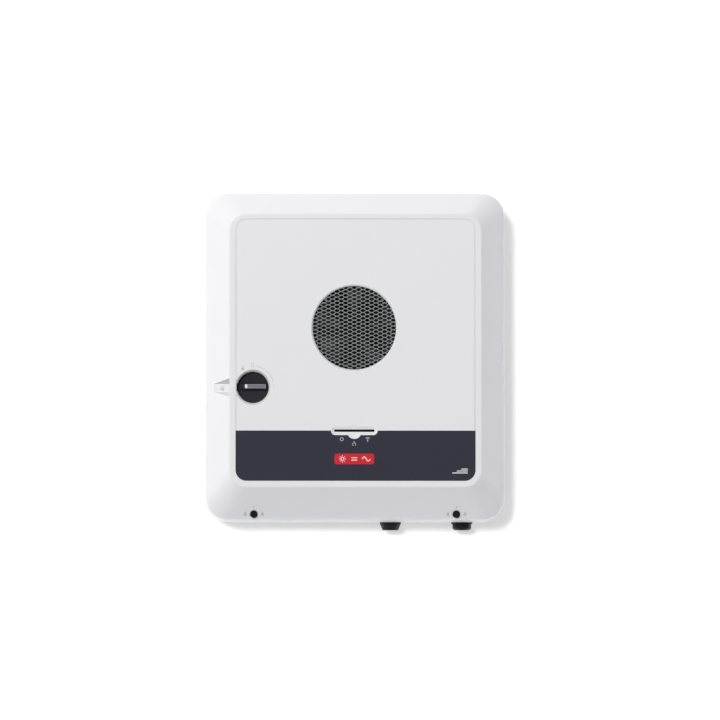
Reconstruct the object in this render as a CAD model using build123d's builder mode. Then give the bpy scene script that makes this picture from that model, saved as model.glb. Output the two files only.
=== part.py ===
from build123d import *
import os
from math import cos, radians, sin

os.makedirs("parts", exist_ok=True)

# A wall-mounted solar string inverter. +Z is up, +X is right and the front faces -Y.
# The wall is the plane y = 0, and "depth" below always means distance in front of the wall.
# The origin is the centre of the wall bracket's screw pattern.

# ---- housing, in mm ----
RIM_WIDTH = 474.0
RIM_HALF_HEIGHT = 259.5
RIM_RADIUS = 37.0
RIM_DEPTH = 60.0
BREAK_WIDTH = 469.0
BREAK_HALF_HEIGHT = 257.0
BREAK_RADIUS = 35.0
BREAK_DEPTH = 117.0
FACE_HALF_WIDTH = 197.6
FACE_LOW = -207.2
FACE_HIGH = 221.0
FACE_RADIUS = 27.0
FACE_DEPTH = 165.0
COVER_WALL = 3.0
INNER_FACE_DEPTH = FACE_DEPTH - COVER_WALL

TRAY_WIDTH = 466.0
TRAY_HALF_HEIGHT = 255.5
TRAY_RADIUS = 34.0
TRAY_WALL = 3.0
TRAY_BACK = 16.0
TRAY_FLOOR = TRAY_BACK + TRAY_WALL
TRAY_LIP = 66.0
TRAY_HALF_INSIDE = TRAY_WIDTH / 2 - TRAY_WALL
TRAY_HIGH_INSIDE = TRAY_HALF_HEIGHT - TRAY_WALL

# ---- the partition between the cooled power area and the connection area ----
PARTITION_TOP = -98.0
PARTITION_BOTTOM = PARTITION_TOP - 3.0
LEDGE_BACK = 55.5
LEDGE_FRONT = 58.5
LEDGE_WIDTH = 12.0

# ---- front face details ----
PANEL_HALF_WIDTH = 188.0
PANEL_LOW = -197.5
PANEL_HIGH = 214.0
PANEL_RADIUS = 17.0
GROOVE_WIDTH = 1.6
GROOVE_DEPTH = 1.9
LABEL_TOP = -118.7
LABEL_THICKNESS = 0.8
STATUS_X = -2.0
STATUS_HEIGHT = -118.8
PILL_LENGTH = 73.0
PILL_WIDTH = 14.0
LIGHT_LENGTH = 63.5
LIGHT_WIDTH = 3.8
LIGHT_SINK = 2.4
TROUGH_DEPTH = 2.0
DISH_HEIGHT = STATUS_HEIGHT - 1.7
DISH_RADIUS = 11.3
DISH_SPHERE = 28.1
DISH_CUT = 2.3

# ---- fan ----
FAN_X = -1.9
FAN_Z = 42.5
GRILLE_RADIUS = 65.6
GRILLE_CHAMFER = 2.2
MESH_RADIUS = 70.0
MESH_BACK = 160.5
DUCT_INNER = 66.0
DUCT_OUTER = 69.0
DUCT_END = 155.0
FRAME_OUTER = 65.5
FRAME_INNER = 60.5
FRAME_BACK = 110.0
FRAME_FRONT = 150.0
ROTOR_RADIUS = 57.0
HUB_RADIUS = 22.0
BLADES = 5
FIRST_BLADE_DEGREES = 53.0

# ---- DC disconnector and its knob ----
KNOB_X = -160.6
KNOB_Z = -50.9
KNOB_RADIUS = 23.4
WELL_RADIUS = 24.8
WELL_WALL = 4.9
WELL_BACK = 128.4
WELL_FLARE = 2.8
WELL_FLARE_DEPTH = 4.5
WELL_NOTCH = 26.6
LOCK_FLOOR = 133.4
LOCK_HALF_FLOOR = 6.35
LOCK_HALF_TOP = 14.35
LOCK_X = -222.0

# ---- cover locks ----
COVER_LOCK_X = 159.0
COVER_LOCK_Z = -248.8
COVER_LOCKS = [(-COVER_LOCK_X, COVER_LOCK_Z), (COVER_LOCK_X, COVER_LOCK_Z)]
LOCK_POCKET_DEPTH = 117.5
LOCK_POCKET_RADIUS = 6.4
LOCK_BOSS_BACK = 113.0
LOCK_HEAD_RADIUS = 5.65
LOCK_SHANK_RADIUS = 2.4

# ---- circuit boards ----
BOARD_THICKNESS = 1.6
POWER_BOARD_BACK = 88.0
POWER_BOARD_FRONT = POWER_BOARD_BACK + BOARD_THICKNESS
COMM_BOARD_BACK = 76.0
COMM_BOARD_FRONT = COMM_BOARD_BACK + BOARD_THICKNESS
CONTROL_BOARD_BACK = 118.0
CONTROL_BOARD_FRONT = CONTROL_BOARD_BACK + BOARD_THICKNESS
STATUS_BOARD_BACK = 152.0
STATUS_BOARD_FRONT = STATUS_BOARD_BACK + BOARD_THICKNESS

# ---- heat sink ----
BASE_BACK = 60.0
BASE_FRONT = 66.0
FIN_TIP = 24.0
FIN_THICKNESS = 2.4
FIN_PITCH = 9.0
FIN_LOW = -82.0
FIN_COUNT = 36
LOUVRE_HEIGHT = 3.6
LOUVRE_LENGTH = 28.0
LOUVRE_DEPTH = 40.0

# ---- cable entries: x, and depth from the wall ----
DATA_GLAND_X = 57.0
AC_GLAND_X = 170.0
GLAND_DEPTH = 42.0
GLAND_THREAD = 12.5
CABLE_BORE = 8.0
GLAND_FLANGE = 16.8
GLAND_BOTTOM = -271.5

# ---- terminals ----
POLES = 5
POLE_PITCH = 20.0
FIRST_POLE_X = 70.0
AC_BLOCK_FRONT = 63.6
LEVER_PIN_Z = -153.0
LEVER_PIN_DEPTH = 67.2
LEVER_PIN_RADIUS = 1.5
LEVER_BORE_RADIUS = 1.55
LEVER_BARREL_RADIUS = 3.2
WIRE_DEPTH = 100.0


def rounded(depth, x_low, x_high, z_low, z_high, radius):
    """A rectangle with round corners, drawn in x and z at this depth."""
    with BuildSketch(Plane.XZ.offset(depth)) as outline:
        with Locations(((x_low + x_high) / 2, (z_low + z_high) / 2)):
            if radius > 0:
                RectangleRounded(x_high - x_low, z_high - z_low, radius)
            else:
                Rectangle(x_high - x_low, z_high - z_low)
    return outline.sketch


def block(x_low, x_high, z_low, z_high, back, front, radius=0.0, mode=Mode.ADD):
    """A box between two depths, with its upright-view corners rounded if a radius is given."""
    extrude(rounded(back, x_low, x_high, z_low, z_high, radius), amount=front - back, mode=mode)


def blocks(points, width, height, back, front, radius=0.0, mode=Mode.ADD):
    """The same box centred on each (x, z) point."""
    with BuildSketch(Plane.XZ.offset(back)) as outline:
        with Locations(*points):
            if radius > 0:
                RectangleRounded(width, height, radius)
            else:
                Rectangle(width, height)
    extrude(outline.sketch, amount=front - back, mode=mode)


def rods(points, radius, back, front, mode=Mode.ADD):
    """Round rods along the depth direction, one on each (x, z) point."""
    with BuildSketch(Plane.XZ.offset(back)) as outline:
        with Locations(*points):
            Circle(radius)
    extrude(outline.sketch, amount=front - back, mode=mode)


def rings(points, outer, inner, back, front, mode=Mode.ADD):
    """Flat rings or tubes along the depth direction, one on each (x, z) point."""
    with BuildSketch(Plane.XZ.offset(back)) as outline:
        with Locations(*points):
            Circle(outer)
        with Locations(*points):
            Circle(inner, mode=Mode.SUBTRACT)
    extrude(outline.sketch, amount=front - back, mode=mode)


def uprights(points, radius, bottom, top, mode=Mode.ADD):
    """Vertical rods, one on each (x, depth) point."""
    with BuildSketch(Plane.XY.offset(bottom)) as outline:
        with Locations(*[(x, -depth) for x, depth in points]):
            Circle(radius)
    extrude(outline.sketch, amount=top - bottom, mode=mode)


def upright_rings(points, outer, inner, bottom, top):
    """Vertical tubes, one on each (x, depth) point."""
    with BuildSketch(Plane.XY.offset(bottom)) as outline:
        with Locations(*[(x, -depth) for x, depth in points]):
            Circle(outer)
        with Locations(*[(x, -depth) for x, depth in points]):
            Circle(inner, mode=Mode.SUBTRACT)
    extrude(outline.sketch, amount=top - bottom)


def cross_rod(x_low, x_high, depth, z, radius, mode=Mode.ADD):
    """A rod along x."""
    with BuildSketch(Plane.YZ.offset(x_low)) as outline:
        with Locations((-depth, z)):
            Circle(radius)
    extrude(outline.sketch, amount=x_high - x_low, mode=mode)


def torx_sockets(points, radius, back, front):
    """Six-lobed driver sockets, cut into screw heads."""
    with BuildSketch(Plane.XZ.offset(back)) as outline:
        with Locations(*points):
            Circle(radius * 0.72)
        for x, z in points:
            with Locations((x, z)):
                with PolarLocations(radius * 0.75, 6):
                    Circle(radius * 0.25)
    extrude(outline.sketch, amount=front - back, mode=Mode.SUBTRACT)


# ================= wall bracket =================

BRACKET_HALF_WIDTH = 170.0
BRACKET_LOW = -76.0
BRACKET_HIGH = 132.0
BRACKET_SHEET = 2.0
WALL_HOLE_X = 150.0
WALL_HOLE_Z = 60.0
WALL_HOLE_RADIUS = 4.25
LIP_BACK = 10.0
LIP_TOP = 142.0

with BuildPart() as wall_bracket:
    block(-BRACKET_HALF_WIDTH, BRACKET_HALF_WIDTH, BRACKET_LOW, BRACKET_HIGH, 0.0, BRACKET_SHEET)
    # Stiffening flanges folded forward along both sides and the bottom edge.
    for side in (-1, 1):
        low = side * BRACKET_HALF_WIDTH - BRACKET_SHEET / 2 - side * BRACKET_SHEET / 2
        block(low, low + BRACKET_SHEET, BRACKET_LOW, BRACKET_HIGH, 0.0, LIP_BACK)
    block(-BRACKET_HALF_WIDTH, BRACKET_HALF_WIDTH, BRACKET_LOW, BRACKET_LOW + BRACKET_SHEET, 0.0, LIP_BACK)
    # The shelf and upturned lip that the inverter's hanger drops behind.
    block(
        -BRACKET_HALF_WIDTH,
        BRACKET_HALF_WIDTH,
        BRACKET_HIGH - BRACKET_SHEET,
        BRACKET_HIGH,
        0.0,
        LIP_BACK + BRACKET_SHEET,
    )
    block(
        -BRACKET_HALF_WIDTH,
        BRACKET_HALF_WIDTH,
        BRACKET_HIGH - BRACKET_SHEET,
        LIP_TOP,
        LIP_BACK,
        LIP_BACK + BRACKET_SHEET,
    )
    # Four fixing holes at the corners of the pattern, and lightening windows.
    wall_points = [(x, z) for x in (-WALL_HOLE_X, WALL_HOLE_X) for z in (-WALL_HOLE_Z, WALL_HOLE_Z)]
    rods(wall_points, WALL_HOLE_RADIUS, 0.0, BRACKET_SHEET, mode=Mode.SUBTRACT)
    blocks([(-75.0, 20.0), (75.0, 20.0)], 90.0, 120.0, 0.0, BRACKET_SHEET, radius=12.0, mode=Mode.SUBTRACT)
    rods([(0.0, 100.0), (0.0, -50.0)], WALL_HOLE_RADIUS, 0.0, BRACKET_SHEET, mode=Mode.SUBTRACT)
wall_bracket.part.label = "wall_bracket"
export_step(wall_bracket.part, "parts/wall_bracket.step")

# ================= rear housing =================

COMM_POSTS = [(-52.0, -184.0), (42.0, -184.0), (-52.0, -114.0), (42.0, -114.0)]
BAR_POSTS = [(-48.0, -222.0), (34.0, -222.0)]
HANGER_SCREWS = [(x, 162.0) for x in (-140.0, -85.0, -30.0, 30.0, 85.0, 140.0)]
GROMMET_X = -112.0
GROMMET_LENGTH = 96.0
GROMMET_WIDTH = 24.0
LOUVRES = [
    (-LOUVRE_DEPTH, FIN_LOW + FIN_PITCH * (k + 0.5)) for k in range(1, FIN_COUNT - 2)
]

with BuildPart() as rear_housing:
    block(
        -TRAY_WIDTH / 2,
        TRAY_WIDTH / 2,
        -TRAY_HALF_HEIGHT,
        TRAY_HALF_HEIGHT,
        TRAY_BACK,
        TRAY_LIP,
        radius=TRAY_RADIUS,
    )
    # The air chamber, below and above the ledge that carries the heat sink.
    for back, front in ((TRAY_FLOOR, LEDGE_BACK), (LEDGE_FRONT, TRAY_LIP)):
        with BuildSketch(Plane.XZ.offset(back)) as chamber:
            RectangleRounded(2 * TRAY_HALF_INSIDE, 2 * TRAY_HIGH_INSIDE, TRAY_RADIUS - TRAY_WALL)
            with Locations((0, (PARTITION_TOP + TRAY_HALF_HEIGHT) / 2)):
                Rectangle(TRAY_WIDTH, TRAY_HALF_HEIGHT - PARTITION_TOP, mode=Mode.INTERSECT)
        extrude(amount=front - back, mode=Mode.SUBTRACT)
    block(
        -TRAY_HALF_INSIDE + LEDGE_WIDTH,
        TRAY_HALF_INSIDE - LEDGE_WIDTH,
        PARTITION_TOP + LEDGE_WIDTH,
        TRAY_HIGH_INSIDE - LEDGE_WIDTH,
        LEDGE_BACK,
        LEDGE_FRONT,
        radius=6.0,
        mode=Mode.SUBTRACT,
    )
    # The connection area under the partition.
    with BuildSketch(Plane.XZ.offset(TRAY_FLOOR)) as chamber:
        RectangleRounded(2 * TRAY_HALF_INSIDE, 2 * TRAY_HIGH_INSIDE, TRAY_RADIUS - TRAY_WALL)
        with Locations((0, (PARTITION_BOTTOM - TRAY_HALF_HEIGHT) / 2)):
            Rectangle(TRAY_WIDTH, TRAY_HALF_HEIGHT + PARTITION_BOTTOM, mode=Mode.INTERSECT)
    extrude(amount=TRAY_LIP - TRAY_FLOOR, mode=Mode.SUBTRACT)
    # Air outlet louvres through both side walls, level with the gaps between the fins.
    with BuildSketch(Plane.YZ.offset(-TRAY_WIDTH / 2 - 1)) as slots:
        with Locations(*LOUVRES):
            SlotOverall(LOUVRE_LENGTH, LOUVRE_HEIGHT)
    extrude(amount=TRAY_WIDTH + 2, mode=Mode.SUBTRACT)
    # Cable entries in the bottom wall.
    uprights(
        [(DATA_GLAND_X, GLAND_DEPTH), (AC_GLAND_X, GLAND_DEPTH)],
        GLAND_THREAD,
        -TRAY_HALF_HEIGHT,
        -TRAY_HIGH_INSIDE,
        mode=Mode.SUBTRACT,
    )
    with BuildSketch(Plane.XY.offset(-TRAY_HALF_HEIGHT)) as opening:
        with Locations((GROMMET_X, -GLAND_DEPTH)):
            RectangleRounded(GROMMET_LENGTH, GROMMET_WIDTH, 6.0)
    extrude(amount=TRAY_WALL, mode=Mode.SUBTRACT)
    # Posts for the communication board and the earth bar.
    rods(COMM_POSTS, 4.0, TRAY_FLOOR, COMM_BOARD_BACK)
    rods(COMM_POSTS, 1.5, COMM_BOARD_BACK - 9.0, COMM_BOARD_BACK, mode=Mode.SUBTRACT)
    rods(BAR_POSTS, 5.0, TRAY_FLOOR, 30.0)
    # Holes for the hanger's screws.
    rods(HANGER_SCREWS, 2.1, TRAY_BACK, TRAY_FLOOR, mode=Mode.SUBTRACT)
rear_housing.part.label = "rear_housing"
export_step(rear_housing.part, "parts/rear_housing.step")

HANGER_HALF_WIDTH = 155.0
HANGER_TOP = 175.0
TONGUE_BACK = 6.0
TONGUE_BOTTOM = BRACKET_HIGH + 0.2

with BuildPart() as rear_hanger:
    block(-HANGER_HALF_WIDTH, HANGER_HALF_WIDTH, 148.0, HANGER_TOP, TRAY_BACK - 2.0, TRAY_BACK)
    block(-HANGER_HALF_WIDTH, HANGER_HALF_WIDTH, HANGER_TOP - 2.0, HANGER_TOP, TONGUE_BACK, TRAY_BACK)
    block(-HANGER_HALF_WIDTH, HANGER_HALF_WIDTH, TONGUE_BOTTOM, HANGER_TOP, TONGUE_BACK, TONGUE_BACK + 2.0)
    rods(HANGER_SCREWS, 2.1, TRAY_BACK - 2.0, TRAY_BACK, mode=Mode.SUBTRACT)
    # Access holes for the screwdriver.
    rods(HANGER_SCREWS, 4.5, TONGUE_BACK, TONGUE_BACK + 2.0, mode=Mode.SUBTRACT)
rear_hanger.part.label = "rear_hanger"
export_step(rear_hanger.part, "parts/rear_hanger.step")

with BuildPart() as hanger_screws:
    rods(HANGER_SCREWS, 2.0, 13.0, 22.5)
    rods(HANGER_SCREWS, 3.8, 11.8, 14.0)
hanger_screws.part.label = "hanger_screws"
export_step(hanger_screws.part, "parts/hanger_screws.step")

with BuildPart() as rear_bumpers:
    rods([(-150.0, -190.0), (150.0, -190.0)], 11.0, 4.0, TRAY_BACK)
    rods([(-150.0, -190.0), (150.0, -190.0)], 8.5, 0.5, 4.0)
rear_bumpers.part.label = "rear_bumpers"
export_step(rear_bumpers.part, "parts/rear_bumpers.step")

# ================= cooling =================

POWER_POSTS = [
    (-198.0, -76.0),
    (198.0, -40.0),
    (-198.0, 90.0),
    (198.0, 90.0),
    (-198.0, 224.0),
    (198.0, 224.0),
    (-80.0, 150.0),
    (80.0, 150.0),
    (60.0, -78.0),
]

with BuildPart() as heat_sink:
    block(-228.0, 228.0, PARTITION_TOP + 2.0, TRAY_HIGH_INSIDE - 2.0, BASE_BACK, BASE_FRONT, radius=28.0)
    fin_points = [(0.0, FIN_LOW + FIN_PITCH * k) for k in range(FIN_COUNT)]
    blocks(fin_points, 424.0, FIN_THICKNESS, FIN_TIP, BASE_BACK)
    # The fan blows through the base into a round plenum cut in the fins.
    rods([(FAN_X, FAN_Z)], 58.0, 38.0, BASE_FRONT, mode=Mode.SUBTRACT)
heat_sink.part.label = "heat_sink"
export_step(heat_sink.part, "parts/heat_sink.step")

with BuildPart() as heat_sink_seal:
    with BuildSketch(Plane.XZ.offset(LEDGE_FRONT)) as seal_ring:
        with Locations((0, (PARTITION_TOP + TRAY_HIGH_INSIDE) / 2)):
            RectangleRounded(452.0, TRAY_HIGH_INSIDE - PARTITION_TOP - 8.0, 26.0)
            RectangleRounded(440.0, TRAY_HIGH_INSIDE - PARTITION_TOP - 20.0, 20.0, mode=Mode.SUBTRACT)
    extrude(amount=BASE_BACK - LEDGE_FRONT)
heat_sink_seal.part.label = "heat_sink_seal"
export_step(heat_sink_seal.part, "parts/heat_sink_seal.step")

FAN_CENTRE = [(FAN_X, FAN_Z)]
FAN_SCREWS = [
    (FAN_X + 63.0 * cos(radians(a)), FAN_Z + 63.0 * sin(radians(a))) for a in (45, 135, 225, 315)
]

with BuildPart() as fan_duct:
    rings(FAN_CENTRE, DUCT_OUTER, DUCT_INNER, BASE_FRONT, DUCT_END)
    rings(FAN_CENTRE, DUCT_INNER + 1.0, 60.0, FRAME_BACK - 4.0, FRAME_BACK)
    rings(FAN_CENTRE, DUCT_OUTER + 6.0, DUCT_OUTER - 1.0, BASE_FRONT, BASE_FRONT + 3.0)
    rods(FAN_SCREWS, 1.6, FRAME_BACK - 4.0, FRAME_BACK, mode=Mode.SUBTRACT)
fan_duct.part.label = "fan_duct"
export_step(fan_duct.part, "parts/fan_duct.step")

with BuildPart() as duct_seal:
    rings(FAN_CENTRE, DUCT_OUTER, DUCT_INNER, DUCT_END, MESH_BACK - 2.3)
duct_seal.part.label = "duct_seal"
export_step(duct_seal.part, "parts/duct_seal.step")

with BuildPart() as fan_frame:
    rings(FAN_CENTRE, FRAME_OUTER, FRAME_INNER, FRAME_BACK, FRAME_FRONT)
    rods(FAN_CENTRE, 20.0, FRAME_BACK, FRAME_BACK + 3.0)
    for angle in (20, 110, 200, 290):
        with BuildSketch(Plane.XZ.offset(FRAME_BACK)) as strut:
            with Locations((FAN_X + 40.0 * cos(radians(angle)), FAN_Z + 40.0 * sin(radians(angle)))):
                Rectangle(44.0, 5.0, rotation=angle)
        extrude(amount=3.0)
    rods(FAN_SCREWS, 1.6, FRAME_BACK, FRAME_FRONT, mode=Mode.SUBTRACT)
fan_frame.part.label = "fan_frame"
export_step(fan_frame.part, "parts/fan_frame.step")

with BuildPart() as fan_screws:
    rods(FAN_SCREWS, 1.5, FRAME_BACK - 4.0, FRAME_FRONT)
    rods(FAN_SCREWS, 2.3, FRAME_FRONT, FRAME_FRONT + 2.0)
fan_screws.part.label = "fan_screws"
export_step(fan_screws.part, "parts/fan_screws.step")

with BuildPart() as fan_stator:
    rods(FAN_CENTRE, 9.0, FRAME_BACK + 3.0, 139.0)
    rods(FAN_CENTRE, 17.5, 119.0, 135.0)
    stator_slots = [
        (FAN_X + 15.0 * cos(radians(a)), FAN_Z + 15.0 * sin(radians(a))) for a in range(0, 360, 60)
    ]
    rods(stator_slots, 2.0, 119.0, 135.0, mode=Mode.SUBTRACT)
    rods(FAN_CENTRE, 2.05, FRAME_BACK + 3.0, 139.0, mode=Mode.SUBTRACT)
fan_stator.part.label = "fan_stator"
export_step(fan_stator.part, "parts/fan_stator.step")

BLADE_MIDDLE = 131.0
# A cambered blade section: (share of the chord, height in mm).
BLADE_SECTION = [
    (-0.5, -0.4),
    (-0.25, 0.6),
    (0.0, 1.3),
    (0.25, 0.9),
    (0.5, -0.2),
    (0.5, -1.0),
    (0.25, -0.8),
    (0.0, -0.6),
    (-0.25, -0.9),
    (-0.5, -1.2),
]

with BuildPart() as fan_rotor:
    for k in range(BLADES):
        turn = radians(FIRST_BLADE_DEGREES + k * 360.0 / BLADES)
        outward = Vector(cos(turn), 0, sin(turn))
        around = Vector(-sin(turn), 0, cos(turn))
        forward = Vector(0, -1, 0)
        for reach, chord, pitch in ((20.6, 30.0, 44.0), (40.0, 44.0, 33.0), (60.0, 54.0, 25.0)):
            middle = Vector(FAN_X, -BLADE_MIDDLE, FAN_Z) + outward * reach
            lean = around * cos(radians(pitch)) + forward * sin(radians(pitch))
            with BuildSketch(Plane(origin=middle, x_dir=lean, z_dir=outward)):
                with BuildLine():
                    Polyline([(chord * along, across) for along, across in BLADE_SECTION], close=True)
                make_face()
        loft(ruled=True)
    rods(FAN_CENTRE, ROTOR_RADIUS, 100.0, 160.0, mode=Mode.INTERSECT)
    rods(FAN_CENTRE, HUB_RADIUS, 116.0, 147.0)
    rods(FAN_CENTRE, 19.5, 116.0, 144.0, mode=Mode.SUBTRACT)
    rods(FAN_CENTRE, 2.0, FRAME_BACK + 4.0, 145.0)
    rods([(FAN_X + 15.5, FAN_Z + 3.0), (FAN_X - 15.5, FAN_Z - 3.0)], 1.2, 146.0, 147.0, mode=Mode.SUBTRACT)
fan_rotor.part.label = "fan_rotor"
export_step(fan_rotor.part, "parts/fan_rotor.step")

# ================= power electronics =================

CONTROL_POSTS = [(-56.0, 138.0), (56.0, 138.0), (-56.0, 216.0), (56.0, 216.0)]

with BuildPart() as board_posts:
    rods(POWER_POSTS, 3.5, BASE_FRONT, POWER_BOARD_BACK)
    rods(POWER_POSTS, 1.6, POWER_BOARD_BACK - 8.0, POWER_BOARD_BACK, mode=Mode.SUBTRACT)
    rods(CONTROL_POSTS, 3.5, POWER_BOARD_FRONT, CONTROL_BOARD_BACK)
    rods(CONTROL_POSTS, 1.6, CONTROL_BOARD_BACK - 8.0, CONTROL_BOARD_BACK, mode=Mode.SUBTRACT)
board_posts.part.label = "board_posts"
export_step(board_posts.part, "parts/board_posts.step")

with BuildPart() as power_board:
    block(-205.0, 205.0, -84.0, 232.0, POWER_BOARD_BACK, POWER_BOARD_FRONT, radius=4.0)
    rods(FAN_CENTRE, DUCT_OUTER + 2.0, POWER_BOARD_BACK, POWER_BOARD_FRONT, mode=Mode.SUBTRACT)
    rods(POWER_POSTS, 1.6, POWER_BOARD_BACK, POWER_BOARD_FRONT, mode=Mode.SUBTRACT)
power_board.part.label = "power_board"
export_step(power_board.part, "parts/power_board.step")

# The same pan-head screw holds all three boards: (points, depth of the board's front face).
BOARD_SCREWS = [
    (POWER_POSTS, POWER_BOARD_FRONT),
    (CONTROL_POSTS, CONTROL_BOARD_FRONT),
    (COMM_POSTS, COMM_BOARD_FRONT),
]

with BuildPart() as board_screws:
    for points, front in BOARD_SCREWS:
        rods(points, 1.5, front - 8.5, front)
        rods(points, 3.0, front, front + 2.2)
        torx_sockets(points, 1.4, front + 0.8, front + 2.2)
board_screws.part.label = "board_screws"
export_step(board_screws.part, "parts/board_screws.step")

MODULES = [(-128.0, 76.0), (-128.0, 6.0), (128.0, 76.0), (128.0, 6.0)]

with BuildPart() as power_modules:
    blocks(MODULES, 62.0, 45.0, BASE_FRONT, BASE_FRONT + 13.0, radius=2.0)
    pin_points = [(x + dx, z + dz) for x, z in MODULES for dx in (-24, -8, 8, 24) for dz in (-17, 17)]
    rods(pin_points, 0.7, BASE_FRONT + 12.0, POWER_BOARD_BACK)
power_modules.part.label = "power_modules"
export_step(power_modules.part, "parts/power_modules.step")

DC_LINK = [
    (-104.0, -62.0),
    (-70.0, -62.0),
    (-36.0, -62.0),
    (-2.0, -62.0),
    (32.0, -62.0),
    (-104.0, -28.0),
    (-70.0, -29.0),
]

with BuildPart() as dc_link_capacitors:
    rods(DC_LINK, 15.0, POWER_BOARD_FRONT, POWER_BOARD_FRONT + 42.0)
    fillet(dc_link_capacitors.edges().filter_by(GeomType.CIRCLE), 1.4)
    rings(DC_LINK, 16.0, 14.6, POWER_BOARD_FRONT + 3.6, POWER_BOARD_FRONT + 4.8, mode=Mode.SUBTRACT)
dc_link_capacitors.part.label = "dc_link_capacitors"
export_step(dc_link_capacitors.part, "parts/dc_link_capacitors.step")

BOOST_CHOKES = [(-150.0, 40.0), (-150.0, 114.0)]

with BuildPart() as boost_chokes:
    rings(BOOST_CHOKES, 31.0, 12.0, POWER_BOARD_FRONT, POWER_BOARD_FRONT + 35.0)
    fillet(boost_chokes.edges().filter_by(GeomType.CIRCLE), 7.0)
boost_chokes.part.label = "boost_chokes"
export_step(boost_chokes.part, "parts/boost_chokes.step")

FILTER_CHOKES = [(150.0, -2.0), (150.0, 62.0), (150.0, 126.0)]

with BuildPart() as ac_filter_chokes:
    rings(FILTER_CHOKES, 27.0, 11.0, POWER_BOARD_FRONT, POWER_BOARD_FRONT + 29.0)
    fillet(ac_filter_chokes.edges().filter_by(GeomType.CIRCLE), 6.0)
ac_filter_chokes.part.label = "ac_filter_chokes"
export_step(ac_filter_chokes.part, "parts/ac_filter_chokes.step")

RELAYS = [(76.0 + 28.0 * k, -66.0) for k in range(POLES)]

with BuildPart() as grid_relays:
    blocks(RELAYS, 22.0, 29.0, POWER_BOARD_FRONT, POWER_BOARD_FRONT + 20.0, radius=1.0)
grid_relays.part.label = "grid_relays"
export_step(grid_relays.part, "parts/grid_relays.step")

FILM = [(-172.0, 176.0), (-136.0, 176.0), (-172.0, 204.0), (-136.0, 204.0), (112.0, 196.0), (148.0, 196.0)]

with BuildPart() as film_capacitors:
    blocks(FILM, 31.0, 19.0, POWER_BOARD_FRONT, POWER_BOARD_FRONT + 30.0, radius=1.5)
film_capacitors.part.label = "film_capacitors"
export_step(film_capacitors.part, "parts/film_capacitors.step")

with BuildPart() as control_board:
    block(-62.0, 62.0, 132.0, 222.0, CONTROL_BOARD_BACK, CONTROL_BOARD_FRONT, radius=3.0)
    rods(CONTROL_POSTS, 1.6, CONTROL_BOARD_BACK, CONTROL_BOARD_FRONT, mode=Mode.SUBTRACT)
control_board.part.label = "control_board"
export_step(control_board.part, "parts/control_board.step")

with BuildPart() as control_chips:
    blocks([(-20.0, 186.0)], 22.0, 22.0, CONTROL_BOARD_FRONT, CONTROL_BOARD_FRONT + 1.8)
    blocks([(22.0, 190.0), (22.0, 168.0)], 14.0, 10.0, CONTROL_BOARD_FRONT, CONTROL_BOARD_FRONT + 1.6)
    small_chips = [(-22.0, 152.0), (0.0, 152.0), (22.0, 150.0)]
    blocks(small_chips, 9.0, 6.0, CONTROL_BOARD_FRONT, CONTROL_BOARD_FRONT + 1.4)
    blocks([(46.0, 178.0)], 8.0, 42.0, CONTROL_BOARD_FRONT, CONTROL_BOARD_FRONT + 8.0)
control_chips.part.label = "control_chips"
export_step(control_chips.part, "parts/control_chips.step")

# ================= DC disconnector and knob =================

KNOB_CENTRE = [(KNOB_X, KNOB_Z)]
SHAFT_RADIUS = 4.0
SWITCH_FRONT = 126.0
KNOB_BASE_RADIUS = 24.4
KNOB_BACK = 136.0
KNOB_DISC_FRONT = 146.0
KNOB_DISH_SPHERE = 100.0
KNOB_DISH_CUT = 2.5
HANDLE_FOOT = 142.5
HANDLE_FRONT = 162.0
HANDLE_FOOT_LEFT = -22.0
HANDLE_FOOT_RIGHT = 21.2
HANDLE_FOOT_WIDTH = 12.4
HANDLE_RISE = 1.6
HANDLE_TOP_LEFT = -13.0
HANDLE_TOP_RIGHT = 20.4
HANDLE_WIDTH = 6.8

with BuildPart() as dc_disconnector:
    blocks(KNOB_CENTRE, 54.0, 50.0, POWER_BOARD_FRONT, SWITCH_FRONT, radius=3.0)
    # Gaps between the stacked contact decks.
    for gap in (100.0, 109.0, 118.0):
        for side in (-1, 1):
            blocks([(KNOB_X + side * 26.5, KNOB_Z)], 3.0, 44.0, gap, gap + 1.2, mode=Mode.SUBTRACT)
    rods(KNOB_CENTRE, 12.0, SWITCH_FRONT, 130.0)
    rods(KNOB_CENTRE, SHAFT_RADIUS + 0.05, 98.0, 130.0, mode=Mode.SUBTRACT)
dc_disconnector.part.label = "dc_disconnector"
export_step(dc_disconnector.part, "parts/dc_disconnector.step")

with BuildPart() as knob_base:
    rings(KNOB_CENTRE, KNOB_BASE_RADIUS, SHAFT_RADIUS + 1.0, 130.0, 133.0)
    rings(KNOB_CENTRE, KNOB_BASE_RADIUS, KNOB_RADIUS + 0.3, 133.0, 143.0)
    # A tab that stands in the cover's keyway, next to the padlock recess.
    block(
        KNOB_X - WELL_NOTCH + 0.4,
        KNOB_X - KNOB_RADIUS - 0.4,
        KNOB_Z - LOCK_HALF_FLOOR + 0.4,
        KNOB_Z + LOCK_HALF_FLOOR - 0.4,
        134.0,
        148.0,
    )
knob_base.part.label = "knob_base"
export_step(knob_base.part, "parts/knob_base.step")

with BuildPart() as disconnector_shaft:
    rods(KNOB_CENTRE, SHAFT_RADIUS, 99.0, 134.5)
    blocks(KNOB_CENTRE, 5.0, 5.0, 134.5, 145.0)
disconnector_shaft.part.label = "disconnector_shaft"
export_step(disconnector_shaft.part, "parts/disconnector_shaft.step")

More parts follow.
